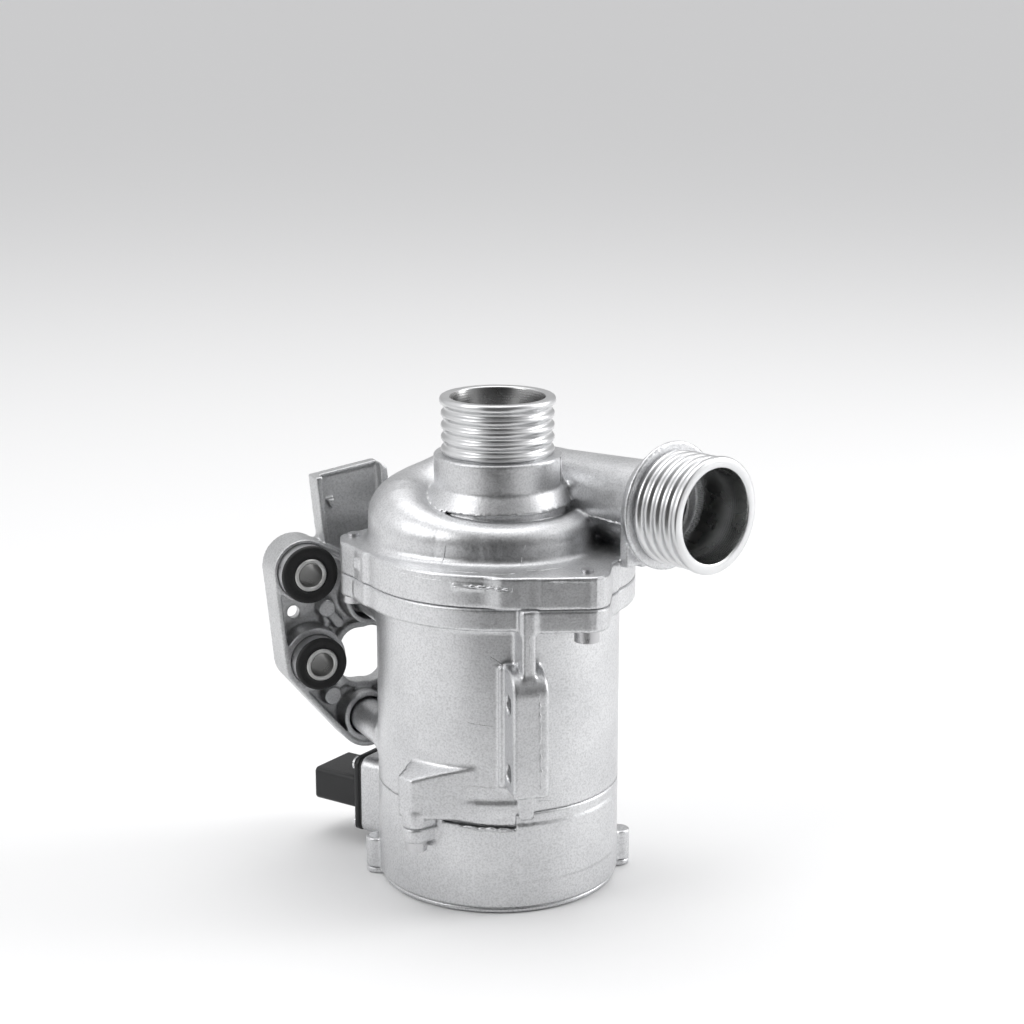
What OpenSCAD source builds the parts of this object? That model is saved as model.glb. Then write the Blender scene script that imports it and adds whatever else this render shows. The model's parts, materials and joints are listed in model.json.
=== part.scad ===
// Electric coolant pump: canned-rotor motor, volute cover, electronics housing,
// side bracket on two rubber bushes. Origin on the motor axis at the base, +Z towards the inlet.

/* [Housings] */
// Outer radius of the motor and electronics housings
body_r = 42.1; // [42:0.1:44]
// Radius of the joint flange between motor housing and volute cover
flange_r = 47.45; // [47:0.05:49]
// Height of the seam between electronics housing and motor housing
seam_z = 36; // [35:0.5:37]
// Underside of the motor housing's flange
flange_z = 101.4; // [100:0.1:102]
// Joint face between motor housing and volute cover
joint_z = 109.3; // [109:0.1:110]
// Top of the volute cover's flange
cover_z = 120.1; // [119.5:0.1:121]
// Thickness of the base cover
base_t = 2; // [2:0.1:3]

/* [Hose spigots] */
// Radius of the bead on the lip of both spigots
lip_r = 20; // [19.8:0.1:20.4]
// Radius of the hose ridges behind the lip
ridge_r = 19.3; // [19:0.1:19.6]
// Radius of the grooves between the ridges
groove_r = 18.55; // [18.2:0.05:18.8]
// Distance from ridge to ridge
ridge_pitch = 4.1; // [3.9:0.05:4.2]
// Radius of the flow bore through both spigots
bore_r = 16.2; // [15:0.1:16.5]
// Top of the inlet spigot
inlet_z = 170.8; // [170:0.1:172]

/* [Outlet] */
// Direction the outlet points, around the motor axis
outlet_az = -72.5; // [-75:0.5:-70]
// Distance of the outlet's axis from the motor axis
outlet_offset = 30; // [29:0.5:31]
// Height of the outlet's axis
outlet_z = 136.8; // [136:0.1:138]
// Length of the outlet from its foot to its end face
outlet_l = 73.4; // [72:0.1:75]

/* [Bracket] */
// Front edge of the bracket's walls, behind the motor axis
bracket_y = 42; // [42:0.5:43]
// Depth of the bracket's walls
bracket_d = 12.5; // [12:0.5:13]
// Radius of the bolt hole in the bush sleeves
sleeve_bore_r = 4.25; // [4.1:0.05:4.4]
// Outer radius of the bush sleeves
sleeve_r = 5.8; // [5.6:0.1:6]

/* [Motor] */
// Radius of the shaft
shaft_r = 4; // [3.8:0.1:4.2]
// Radial running clearance of the shaft in its bearings
bearing_gap = 0.05; // [0.03:0.01:0.08]
// Outer radius of the rotor's sleeve
rotor_r = 20; // [19.6:0.1:20.2]
// Number of stator teeth and coils
teeth = 9; // [9,12]
// Radius of the impeller
impeller_r = 28.5; // [27:0.5:29]
// Number of impeller blades
blades = 7; // [5:1:9]

/* [Hidden] */
$fn = 96;
eps = 0.01;
wall = 3.6;                    // cast wall of the motor housing
bore_in_r = body_r - wall;     // inside of the motor housing
seat_r = 40;                   // wider bore above the stator, for the bearing carrier
seat_z = 100;
collar_r = 21.9;               // plain collar behind the ridges
collar_l = 19.8;               // from the collar to the end of the spigot
bowl_c = [0.5, 5.7];           // middle of the scroll, off the motor axis
bowl_r = 40.25;
bowl_h = 17;
bowl_round = 11;
bowl_tilt = 5;                 // the scroll rises towards the back
skin = 3.6;                    // cast wall of the volute
tube_r = 12.5;                 // scroll's tube just before the outlet
tube_drop = 11;
pipe_low = 1.5;                // axis of the pipe below that of the spigot
ear1 = [8.7, -50.2];           // screw ears of the flange
ear2 = [-42.76, 26.3];
ear3 = [8.4, 49.7];
ear4 = [49.2, 11.2];
ears = [ear1, ear2, ear3, ear4];
ear_r = 7.5;
house_screw = [[-40.9, -21.6], [45.3, 9.6], [4.8, 46]];
base_ear_az = [158.8, -20.8, 68];
base_ear_r = 43;
tap_r = 2.1;                   // tapped hole for an M5 screw, drawn at its core
screw_r = 2.5;
pad_az = -100.5;               // side pad for the pipe clip
pad_front = 54.4;
pad_t = [-8.9, 3.2];           // its sides, across its own direction
pad_z = [45.8, 88.5];
pad_round = 8;
pad_hole_r = 3.3;
pad_hole_z = [76.7, 52.7];
pad_hole_u = 47.2;
conn_az = 120.5;               // direction of the plug socket
conn_face = 52.5;              // face of the connector boss
conn_z = 18.75;
conn_h = 28.6;
conn_w = 24;
socket_h = 12.2;
socket_w = 21;
socket_l = 19.6;
conn_screw = [9.3, 11.25];
bracket_back = bracket_y + bracket_d;
web_t = 3.5;                   // floor plate of the bracket
wall_t = 1.8;                  // its edge walls
tab_y = 46.5;                  // front of the tab's rims
bush_hi = [-55.5, 105.1];      // bush axes, across and up
bush_lo = [-51.95, 71.9];
case_hi = 11.3;                // ring round each bush
case_lo = 11.5;
shell_hi = 10;
shell_lo = 9.2;
bush_front = bracket_y - 6.5;
post_hi = [-30.1, 92];
post_lo = [-31.9, 47.8];
post_r_hi = 6;
post_r_lo = 6.6;
ring_hi = 9.6;
ring_lo = 11.5;
window_c = [-31.6, 69.5];
window_s = [17.2, 20.4];

function polar(r, a) = [r * cos(a), r * sin(a)];

// Children moved out to radius r in direction az.
module around(az, r = 0, z = 0) {
    rotate([0, 0, az]) translate([r, 0, z]) children();
}

// A ring between two radii.
module ring(r_out, r_in, h) {
    difference() {
        cylinder(r = r_out, h = h);
        translate([0, 0, -1]) cylinder(r = r_in, h = h + 2);
    }
}

// A cylinder along +Y starting at y0.
module rod_y(x, z, r, y0, y1) {
    translate([x, y0, z]) rotate([-90, 0, 0]) cylinder(r = r, h = y1 - y0);
}

// One circle with a straight-sided body running to a second circle.
module link(c1, r1, c2, r2) {
    d = c2 - c1;
    a = atan2(d.y, d.x);
    t = acos((r1 - r2) / norm(d));
    translate(c1) circle(r = r1);
    translate(c2) circle(r = r2);
    polygon([
        c1 + polar(r1 - 0.02, a + t), c1 + polar(r1 - 0.02, a - t),
        c2 + polar(r2 - 0.02, a - t), c2 + polar(r2 - 0.02, a + t)]);
}

// Ridged hose end, its face at z = 0, built downwards as half a profile.
function spigot_points() = [
    for (i = [4 : -1 : 1])
        let (z = -1.8 - i * ridge_pitch)
        each [[groove_r, z - 1.4], [ridge_r, z - 0.6], [ridge_r, z + 0.6], [groove_r, z + 1.4]],
    [groove_r, -2.9], [lip_r, -2], [lip_r, -0.8], [lip_r - 0.8, 0], [0, 0]
];

// The scroll as a tilted, slightly tapered dome; grow makes it larger all round.
module bowl(grow) {
    r = bowl_r + grow;
    h = bowl_h + grow;
    q = bowl_round + grow;
    translate([bowl_c.x, bowl_c.y, 120]) rotate([0, 0, 80]) rotate([0, -bowl_tilt, 0])
        rotate_extrude() union() {
            polygon([[0, -6], [r + 0.4, -6], [r - 0.6, h - q], [r - 0.6 - q, h - q + 1], [0, h - q + 1]]);
            translate([r - 0.6 - q, h - q]) circle(r = q);
            square([r - 0.6 - q, h]);
        }
}

// Last quarter of the scroll, a tube climbing to the outlet.
module tube(r) {
    rotate([0, 0, outlet_az + 90]) rotate([-tube_drop, 0, 0]) translate([0, 0, 0])
        rotate_extrude(angle = 78) translate([outlet_offset, 0]) circle(r = r);
}

module outlet_frame() {
    foot = polar(outlet_offset, outlet_az + 90);
    translate([foot.x, foot.y, outlet_z]) rotate([0, 90, outlet_az]) children();
}

module inlet_solid() {
    translate([0, 0, inlet_z]) rotate_extrude() polygon(concat(
        [[0, 126 - inlet_z], [25.5, 126 - inlet_z], [25.5, 134.5 - inlet_z],
         [collar_r, 140.6 - inlet_z], [collar_r, -collar_l], [groove_r, -collar_l]],
        spigot_points()));
}

module outlet_solid() {
    translate([0, 0, outlet_l]) rotate_extrude() polygon(concat(
        [[0, -27], [18.6, -27], [19.4, -24.6], [collar_r, -22.2],
         [collar_r, -collar_l], [groove_r, -collar_l]],
        spigot_points()));
    translate([pipe_low, 0, 0]) {
        sphere(r = 12.3);
        cylinder(r1 = 12.3, r2 = 15.2, h = outlet_l - 25);
    }
}

// Plan of the four screw ears of the joint flange.
module ear_plan(left = [-8.3, -51.1]) {
    translate(ear1) circle(r = ear_r);
    polygon([left, ear1 + polar(ear_r - 0.02, 110 - 202), ear1 + polar(ear_r - 0.02, -52),
             [17.4, -50.6], [25.7, -40.7], [20, -30], [-6, -40]]);
    translate(ear2) circle(r = 4.7);
    polygon([[-47.2, 4.6], [-50.1, 19.6], [-49.6, 21.8], ear2 + polar(4.68, 160), ear2 + polar(4.68, 80),
             [-28, 37.5], [-30, 10]]);
    link(ear3, ear_r, ear3 * 0.7, ear_r + 3);
    link(ear4, ear_r, ear4 * 0.7, ear_r + 3);
}

module volute_cover() {
    color([0.78, 0.79, 0.81]) difference() {
        union() {
            translate([0, 0, joint_z]) cylinder(r = flange_r, h = cover_z - joint_z);
            translate([0, 0, joint_z]) linear_extrude(height = cover_z + 0.4 - joint_z) ear_plan();
            bowl(0);
            inlet_solid();
            translate([0, 0, outlet_z - pipe_low]) tube(tube_r);
            outlet_frame() outlet_solid();
            // web under the pipe, and the plate behind its collar
            rotate([0, 0, outlet_az]) translate([20, 26, joint_z + 4]) cube([22, 5, 20]);
            translate(polar(outlet_offset, outlet_az + 90)) rotate([0, 0, outlet_az])
                translate([46.7, -18, 118]) cube([3.4, 18, outlet_z - 118]);
        }
        translate([0, 0, joint_z - 1]) cylinder(r = 33, h = 11);
        difference() {
            union() {
                bowl(-skin);
                translate([0, 0, outlet_z - pipe_low]) tube(tube_r - skin);
                outlet_frame() translate([pipe_low, 0, 0]) {
                    sphere(r = 9);
                    cylinder(r1 = 9, r2 = 11.8, h = 50);
                }
            }
            // throat between the inlet and the scroll
            translate([0, 0, 127.2]) cylinder(r = bore_r + 3, h = 40);
        }
        translate([0, 0, 120]) cylinder(r = bore_r, h = 60);
        outlet_frame() translate([0, 0, 49.9]) cylinder(r = bore_r - 0.2, h = 30);
        for (p = ears)
            translate([p.x, p.y, joint_z - 1]) cylinder(r = tap_r, h = 30);
    }
}

module cover_seal() {
    color([0.12, 0.12, 0.12]) translate([0, 0, joint_z - 1.6]) ring(43.4, 41.8, 1.6);
}

// Screw from below: hexalobular cap head, shank up to tip_z.
module screw_up(r, head_r, head_h, z, tip_z, drive_r) {
    difference() {
        union() {
            translate([0, 0, z - head_h]) cylinder(r = head_r, h = head_h);
            translate([0, 0, z - eps]) cylinder(r = r, h = tip_z - z);
        }
        translate([0, 0, z - head_h - 1]) cylinder(r = drive_r, h = 1 + head_h * 0.6, $fn = 6);
    }
}

module cover_screws() {
    color([0.75, 0.75, 0.77]) for (p = ears)
        translate(p) screw_up(tap_r, 4.2, 4.2, flange_z - 0.4, cover_z + 1.2, 2);
}

module motor_housing() {
    color([0.76, 0.77, 0.79]) difference() {
        union() {
            translate([0, 0, seam_z]) cylinder(r = body_r, h = joint_z - seam_z);
            translate([0, 0, flange_z]) cylinder(r = flange_r, h = joint_z - flange_z);
            translate([0, 0, flange_z - 0.4]) linear_extrude(height = joint_z - flange_z + 0.4)
                ear_plan([-15, -48.4]);
            house_ears();
            side_pad();
            // posts that carry the bracket
            rod_y(post_hi.x, post_hi.y, post_r_hi, 24, bracket_back - web_t);
            rod_y(post_lo.x, post_lo.y, post_r_lo, 24, bracket_back - web_t);
            // skirt over the front of the seam
            rotate([0, 0, -141.5]) translate([0, 0, seam_z - 4])
                rotate_extrude(angle = 33.5) translate([40.8, 0]) square([2.2, 5]);
        }
        translate([0, 0, seam_z - 1]) cylinder(r = bore_in_r, h = 200);
        translate([0, 0, seat_z]) cylinder(r = seat_r, h = 20);
        translate([0, 0, joint_z - 1.6]) ring(43.6, 41.6, 3);
        for (p = ears)
            translate([p.x, p.y, flange_z - 2]) cylinder(r = screw_r + 0.2, h = 20);
        for (p = house_screw)
            translate([p.x, p.y, 20]) cylinder(r = tap_r, h = 22);
        for (p = [post_hi, post_lo])
            rod_y(p.x, p.y, 2.5, 44, bracket_back + 1);
    }
}

// Screw ears that reach down over the electronics housing; the front one is a wedge.
module house_ears() {
    p = house_screw[0];
    difference() {
        union() {
            translate([0, 0, seam_z - 2.5]) linear_extrude(height = 17.5)
                polygon([[-30, -10], [-39.3, -15], [-46.2, -18.9], [-43.9, -24.8], [-24.8, -33.9], [-20, -24]]);
            translate([0, 0, seam_z - 6]) linear_extrude(height = 4) link(p, 4.4, p * 0.8, 6);
            for (i = [1, 2])
                translate([0, 0, seam_z - 6]) linear_extrude(height = 19)
                    link(house_screw[i], 4.4, house_screw[i] * 0.8, 6);
        }
        translate([0, 0, seam_z - 7]) cylinder(r = body_r + 0.15, h = 7);
        // sloped top of the wedge
        translate([p.x * 0.9, p.y * 0.9, 51]) rotate([0, 0, -152]) rotate([0, 24, 0])
            translate([-20, -20, 0]) cube([40, 40, 20]);
    }
}

// Pad with two cross holes, hung from the flange by a rib.
module side_pad() {
    w = pad_t[1] - pad_t[0];
    rotate([0, 0, pad_az]) difference() {
        union() {
            translate([0, pad_t[1], 0]) rotate([90, 0, 0]) linear_extrude(height = w) union() {
                translate([36, pad_z[0]])
                    square([pad_front - 36, pad_z[1] - pad_round - pad_z[0]]);
                translate([36, pad_z[0]])
                    square([pad_front - pad_round - 36, pad_z[1] - pad_z[0]]);
                translate([pad_front - pad_round, pad_z[1] - pad_round]) circle(r = pad_round);
            }
            // rib up to the flange
            translate([38, -5.2, pad_z[1] - 9]) cube([14, 4.4, joint_z - pad_z[1] + 9]);
            // tongue below the pad, across the seam
            translate([42.3, -4, 33.4]) cube([0.9, 5, 14]);
            translate([40, -4, seam_z]) cube([3.2, 5, 11]);
        }
        for (z = pad_hole_z)
            translate([pad_hole_u, 0, z]) rotate([90, 0, 0])
                cylinder(r = pad_hole_r, h = 40, center = true);
    }
}

module housing_seal() {
    color([0.12, 0.12, 0.12]) translate([0, 0, seam_z - 1.6]) ring(40, 39, 1.6);
}

module housing_screws() {
    color([0.72, 0.72, 0.74]) for (p = house_screw)
        translate(p) screw_up(tap_r, 3.8, 3.2, seam_z - 11, 41.5, 1.6);
}

// Rectangle with rounded corners.

module rounded_rect(w, h, r) {
    union() {
        square([w - 2 * r, h], center = true);
        square([w, h - 2 * r], center = true);
        for (x = [-1, 1], y = [-1, 1])
            translate([x * (w / 2 - r), y * (h / 2 - r)]) circle(r = r);
    }
}

// Frame of the connector: +X across, +Y up, +Z outwards from its mounting face.
module conn_frame() {
    rotate([0, 0, conn_az]) translate([conn_face, 0, conn_z]) rotate([90, 0, 90]) children();
}

module electronics_housing() {
    deck_t = 4;
    color([0.74, 0.75, 0.77]) difference() {
        union() {
            translate([0, 0, base_t]) cylinder(r = body_r, h = seam_z - base_t);
            for (p = house_screw)
                translate([0, 0, seam_z - 11]) linear_extrude(height = 5) link(p, 4.4, p * 0.8, 6);
            for (az = base_ear_az)
                rotate([0, 0, az]) translate([0, 0, base_t]) linear_extrude(height = 11)
                    link([base_ear_r, 0], 3.9, [38, 0], 5);
            conn_frame() translate([0, 0, -24]) linear_extrude(height = 24) rounded_rect(conn_w, conn_h, 4);
        }
        translate([0, 0, base_t - 1]) cylinder(r = body_r - 3.2, h = seam_z - deck_t - base_t + 1);
        // relief under the motor housing's skirt
        rotate([0, 0, -142.1]) translate([0, 0, seam_z - 4.8])
            rotate_extrude(angle = 34.7) translate([40.5, 0]) square([4, 6]);
        conn_frame() translate([0, 0, -22]) linear_extrude(height = 40) rounded_rect(14, 12, 2);
        conn_frame() for (x = [-1, 1], y = [-1, 1])
            translate([x * conn_screw.x, y * conn_screw.y, -8]) cylinder(r = 1.2, h = 20);
        // seal groove and the three openings for the motor's phases
        translate([0, 0, seam_z - 1.6]) ring(40.2, 38.8, 3);
        for (i = [-1, 0, 1])
            around(-20 + 14 * i, 30, 20) cylinder(r = 2.6, h = 30);
        for (az = base_ear_az)
            around(az, base_ear_r, 0) cylinder(r = 1.6, h = 10.5);
        for (p = house_screw)
            translate([p.x, p.y, seam_z - 13]) cylinder(r = 2.3, h = 8);
    }
}

module base_cover() {
    color([0.73, 0.74, 0.76]) difference() {
        union() {
            translate([0, 0, 0.8]) cylinder(r = body_r - 0.6, h = base_t - 0.8);
            cylinder(r1 = body_r - 1.6, r2 = body_r - 0.6, h = 0.8);
            translate([0, 0, base_t - 0.5]) ring(38.7, 34.5, 2.3);
            for (az = base_ear_az)
                rotate([0, 0, az]) linear_extrude(height = base_t)
                    link([base_ear_r, 0], 3.9, [38, 0], 5);
        }
        for (az = base_ear_az) {
            around(az, base_ear_r, -1) cylinder(r = 1.8, h = 4);
            around(az, base_ear_r, -1) cylinder(r = 3.4, h = 2);
        }
        translate([0, 0, 2.5]) ring(39.5, 37.6, 1);
    }
}

module base_seal() {
    color([0.12, 0.12, 0.12]) translate([0, 0, 2.5]) ring(38.85, 37.7, 0.95);
}

module base_screws() {
    color([0.7, 0.7, 0.72]) for (az = base_ear_az)
        around(az, base_ear_r) difference() {
            union() {
                translate([0, 0, 0.1]) cylinder(r = 3.2, h = 0.9);
                cylinder(r = 1.6, h = 9.5);
            }
            translate([0, 0, -0.5]) cylinder(r = 1, h = 1.1, $fn = 6);
        }
}

module bearing_carrier() {
    color([0.35, 0.35, 0.36]) difference() {
        union() {
            translate([0, 0, 104]) cylinder(r = seat_r - 0.2, h = joint_z - 104);
            translate([0, 0, 96]) cylinder(r = 11, h = 8.2);
            translate([0, 0, 109]) cylinder(r = 11, h = 1.6);
        }
        translate([0, 0, 90]) cylinder(r = 7.5, h = 40);
        for (i = [0 : 5])
            around(60 * i + 30, 16, 90) cylinder(r = 2, h = 40);
    }
}

module upper_bearing() {
    color([0.2, 0.2, 0.21]) translate([0, 0, 96.4]) ring(7.5, shaft_r + bearing_gap, 14);
}

module lower_bearing() {
    color([0.2, 0.2, 0.21]) translate([0, 0, 43.4]) ring(8.6, shaft_r + bearing_gap, 9.4);
}

module thrust_washer() {
    color([0.85, 0.84, 0.8]) translate([0, 0, 52.8]) ring(8.2, shaft_r + 0.3, 1.6);
}

module containment_can() {
    color([0.28, 0.28, 0.3]) rotate_extrude() polygon([
        [0, 41.8], [10.2, 41.8], [10.2, 53.6], [21.4, 53.6], [21.4, seat_z],
        [seat_r - 0.2, seat_z], [seat_r - 0.2, 102], [20.6, 102], [20.6, 54.6], [8.6, 54.6],
        [8.6, 43.2], [0, 43.2]]);
}

module can_seal() {
    color([0.12, 0.12, 0.12]) translate([0, 0, 102]) ring(seat_r - 0.6, 36, 2);
}

module stator_core() {
    color([0.45, 0.46, 0.48]) translate([0, 0, 58]) linear_extrude(height = 28) difference() {
        union() {
            difference() {
                circle(r = bore_in_r);
                circle(r = 34);
            }
            for (i = [0 : teeth - 1]) rotate(360 / teeth * i) {
                translate([23, -2.6]) square([12, 5.2]);
                intersection() {
                    difference() {
                        circle(r = 24.2);
                        circle(r = 21.8);
                    }
                    translate([20, -6]) square([6, 12]);
                }
            }
        }
    }
}

module stator_coils() {
    color([0.72, 0.42, 0.2]) for (i = [0 : teeth - 1]) rotate([0, 0, 360 / teeth * i])
        translate([24.8, 0, 72]) rotate([0, 90, 0]) difference() {
            translate([-20, -5.2, 0]) cube([40, 10.4, 8.6]);
            translate([-16.6, -2.9, -1]) cube([33.2, 5.8, 12]);
        }
}

module upper_insulator() {
    color([0.85, 0.83, 0.75]) translate([0, 0, 86]) insulator();
}

module lower_insulator() {
    color([0.85, 0.83, 0.75]) translate([0, 0, 55.6]) insulator();
}

module insulator() {
    linear_extrude(height = 2.4) {
        difference() {
            circle(r = 37.8);
            circle(r = 34.2);
        }
        for (i = [0 : teeth - 1]) rotate(360 / teeth * i)
            translate([22.4, -2.6]) square([12.4, 5.2]);
    }
}

module phase_terminals() {
    color([0.8, 0.6, 0.25]) for (i = [-1, 0, 1])
        around(-20 + 14 * i, 30, 13.6) cylinder(r = 1, h = 37.6);
}

module circuit_board() {
    color([0.1, 0.35, 0.2]) translate([0, 0, 12]) difference() {
        cylinder(r = 36, h = 1.6);
        for (a = [30, 150, 270]) around(a, 32.5, -1) cylinder(r = 1.7, h = 4);
    }
}

module capacitors() {
    color([0.2, 0.2, 0.24]) for (p = [[-18, -18], [-2, -25], [14, -22]])
        translate([p[0], p[1], 13.6]) {
            cylinder(r = 6.2, h = 13);
            translate([0, 0, 13 - eps]) cylinder(r = 5.4, h = 0.6);
        }
}

module choke() {
    color([0.65, 0.4, 0.2]) translate([-20, 6, 13.6 + 4.5])
        rotate_extrude() translate([6.5, 0]) circle(r = 4.5, $fn = 48);
}

module power_module() {
    color([0.14, 0.14, 0.15]) translate([2, 14, 26]) difference() {
        translate([-15, -10, 0]) cube([30, 20, 4.8]);
        for (x = [-1, 1]) translate([x * 12, 0, -1]) cylinder(r = 1.8, h = 8);
    }
}

module thermal_pad() {
    color([0.65, 0.65, 0.7]) translate([2, 14, 30.8]) translate([-10, -9.5, 0]) cube([20, 19, 1.2]);
}

module control_chips() {
    color([0.12, 0.12, 0.13]) {
        translate([6, -8, 13.6]) cube([12, 12, 1.6]);
        translate([-8, 16, 13.6]) cube([8, 6, 1.6]);
        translate([-6, -10, 13.6]) cube([7, 5, 1.4]);
    }
}

module connector_body() {
    color([0.12, 0.12, 0.13]) conn_frame() difference() {
        union() {
            translate([0, 0, 0.8]) linear_extrude(height = 2) rounded_rect(conn_w, conn_h, 4);
            translate([0, 0, 2.6]) linear_extrude(height = socket_l + 0.2)
                rounded_rect(socket_w, socket_h, 1.6);
            translate([0, 0, -5]) linear_extrude(height = 6) rounded_rect(13.4, 11.4, 1.8);
        }
        translate([0, 0, 5]) linear_extrude(height = socket_l)
            rounded_rect(socket_w - 3.2, socket_h - 3.2, 0.8);
        for (x = [-1, 1], y = [-1, 1])
            translate([x * conn_screw.x, y * conn_screw.y, -2]) cylinder(r = 1.5, h = 5);
        for (i = [0 : 3])
            translate([(i - 1.5) * 3.6, 0, -8]) cylinder(r = 0.6, h = 14);
    }
}

module connector_pins() {
    color([0.85, 0.75, 0.4]) conn_frame() for (i = [0 : 3])
        translate([(i - 1.5) * 3.6, 0, -11]) cylinder(r = 0.6, h = 24);
}

module connector_seal() {
    color([0.55, 0.2, 0.15]) conn_frame() linear_extrude(height = 0.8) difference() {
        rounded_rect(conn_w - 1, conn_h - 1, 3.5);
        rounded_rect(13.8, 11.8, 2);
        for (x = [-1, 1], y = [-1, 1])
            translate([x * conn_screw.x, y * conn_screw.y]) circle(r = 1.5);
    }
}

module connector_screws() {
    color([0.8, 0.8, 0.82]) conn_frame() for (x = [-1, 1], y = [-1, 1])
        translate([x * conn_screw.x, y * conn_screw.y, 0]) {
            translate([0, 0, -6]) cylinder(r = 1.2, h = 9);
            translate([0, 0, 2.8]) cylinder(r = 2.5, h = 0.8);
            translate([0, 0, 3.5]) cylinder(r1 = 2.3, r2 = 1.2, h = 0.9);
        }
}

// The bracket seen from the front, across and up; inset steps its edge inwards.
module bracket_plan(inset = 0) {
    g = inset;
    link(bush_hi, case_hi - g, bush_lo, case_lo - g);
    link(bush_lo, case_lo - g, post_lo, ring_lo - g);
    link(bush_hi, case_hi - g, post_hi, ring_hi - g);
    link(post_hi, ring_hi - g, post_lo, ring_lo - g);
    polygon([bush_hi, bush_lo, post_lo, post_hi]);
}

module tab_plan() {
    polygon([[-44.6, 108], [-46.8, 117.5], [-48.8, 136.9], [-24.5, 140.5], [-21.5, 138], [-19.5, 120],
             [-21, 95], [-40, 95]]);
    translate([-24, 138]) circle(r = 2.4);
}

// Flat shape stood upright between two depths.
module upright(y0, y1) {
    translate([0, y1, 0]) rotate([90, 0, 0]) linear_extrude(height = y1 - y0) children();
}

module bracket() {
    floor_y = bracket_back - web_t;
    color([0.5, 0.51, 0.52]) difference() {
        union() {
            upright(floor_y, bracket_back) union() {
                bracket_plan();
                tab_plan();
            }
            // edge wall, lower where the flange passes
            difference() {
                upright(bracket_y, floor_y + 0.2) difference() {
                    bracket_plan();
                    bracket_plan(wall_t);
                }
                translate([-46, bracket_y - 1, 99]) cube([40, tab_y + 1 - bracket_y, 50]);
            }
            // rings round the bushes and the posts
            rod_y(bush_hi.x, bush_hi.y, case_hi, bracket_y, bracket_back - 0.5);
            rod_y(bush_lo.x, bush_lo.y, case_lo, bracket_y, bracket_back - 0.5);
            rod_y(post_hi.x, post_hi.y, ring_hi, bracket_y, bracket_back - 0.5);
            rod_y(post_lo.x, post_lo.y, 9.1, bracket_y, bracket_back - 0.5);
            // rim of the window
            upright(bracket_back - 5.6, bracket_back - 0.5) translate(window_c)
                rounded_rect(window_s.x + 3.2, window_s.y + 3.2, 8.6);
            // rims of the tab
            upright(tab_y, floor_y + 0.2) polygon([[-46.8, 117.5], [-48.8, 136.9], [-47, 137.2], [-45, 117.5]]);
            upright(tab_y, floor_y + 0.2) polygon([[-23.8, 139.4], [-21.5, 138], [-19.5, 120], [-21.3, 100],
                                                   [-23.4, 103], [-22.6, 120]]);
            // round pads
            rod_y(-45.6, 88.9, 3.2, floor_y - 3, bracket_back - 0.5);
            rod_y(-44, 55.8, 3.2, floor_y - 3, bracket_back - 0.5);
        }
        rod_y(bush_hi.x, bush_hi.y, shell_hi, bracket_y - 5, bracket_back + 5);
        rod_y(bush_lo.x, bush_lo.y, shell_lo, bracket_y - 5, bracket_back + 5);
        rod_y(post_hi.x, post_hi.y, post_r_hi + 1.8, bracket_y - 5, floor_y);
        rod_y(post_lo.x, post_lo.y, post_r_lo + 0.7, bracket_y - 5, floor_y);
        for (p = [post_hi, post_lo])
            rod_y(p.x, p.y, 3.3, bracket_y, bracket_back + 5);
        upright(bracket_y - 5, bracket_back + 5) translate(window_c)
            rounded_rect(window_s.x, window_s.y, 7);
        rod_y(-56.6, 87.8, 2.3, bracket_y - 5, bracket_back + 5);
    }
}

module bracket_screws() {
    color([0.7, 0.7, 0.72]) for (p = [post_hi, post_lo]) {
        rod_y(p.x, p.y, 2.5, 45, bracket_back + 0.1);
        difference() {
            rod_y(p.x, p.y, 5, bracket_back, bracket_back + 5);
            translate([p.x, bracket_back + 2, p.y]) rotate([-90, 0, 0])
                cylinder(r = 2.4, h = 4, $fn = 6);
        }
    }
}

module bush_shell(b, r) {
    difference() {
        rod_y(b.x, b.y, r, bush_front + 1, bracket_back + 1);
        rod_y(b.x, b.y, r - 1, bush_front - 1, bracket_back + 5);
    }
}

module bush_rubber(b, r) {
    difference() {
        union() {
            rod_y(b.x, b.y, r - 1, bush_front + 0.5, bracket_back + 1);
            rod_y(b.x, b.y, r + 0.3, bush_front, bush_front + 1);
        }
        rod_y(b.x, b.y, sleeve_r, bush_front - 1, bracket_back + 5);
    }
}

module bush_sleeve(b) {
    difference() {
        rod_y(b.x, b.y, sleeve_r, bush_front - 0.4, bracket_back + 2);
        rod_y(b.x, b.y, sleeve_bore_r, bush_front - 5, bracket_back + 5);
    }
}

module upper_bush_shell() {
    color([0.6, 0.6, 0.62]) bush_shell(bush_hi, shell_hi);
}

module lower_bush_shell() {
    color([0.6, 0.6, 0.62]) bush_shell(bush_lo, shell_lo);
}

module upper_bush_rubber() {
    color([0.08, 0.08, 0.09]) bush_rubber(bush_hi, shell_hi);
}

module lower_bush_rubber() {
    color([0.08, 0.08, 0.09]) bush_rubber(bush_lo, shell_lo);
}

module upper_bush_sleeve() {
    color([0.66, 0.67, 0.68]) bush_sleeve(bush_hi);
}

module lower_bush_sleeve() {
    color([0.66, 0.67, 0.68]) bush_sleeve(bush_lo);
}

module shaft() {
    color([0.8, 0.8, 0.82]) union() {
        translate([0, 0, 43.8]) cylinder(r = shaft_r, h = 69);
        translate([0, 0, 92]) cylinder(r = 5.6, h = 4.1);
        translate([0, 0, 112]) cylinder(r = 3, h = 12.6);
    }
}

module rotor_core() {
    color([0.5, 0.5, 0.52]) translate([0, 0, 57]) ring(15.4, shaft_r, 28);
}

module rotor_magnets() {
    poles = 6;
    color([0.25, 0.25, 0.27]) for (i = [0 : poles - 1]) rotate([0, 0, 60 * i + 1])
        translate([0, 0, 57]) rotate_extrude(angle = 58) translate([15.4, 0]) square([3.8, 28]);
}

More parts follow.
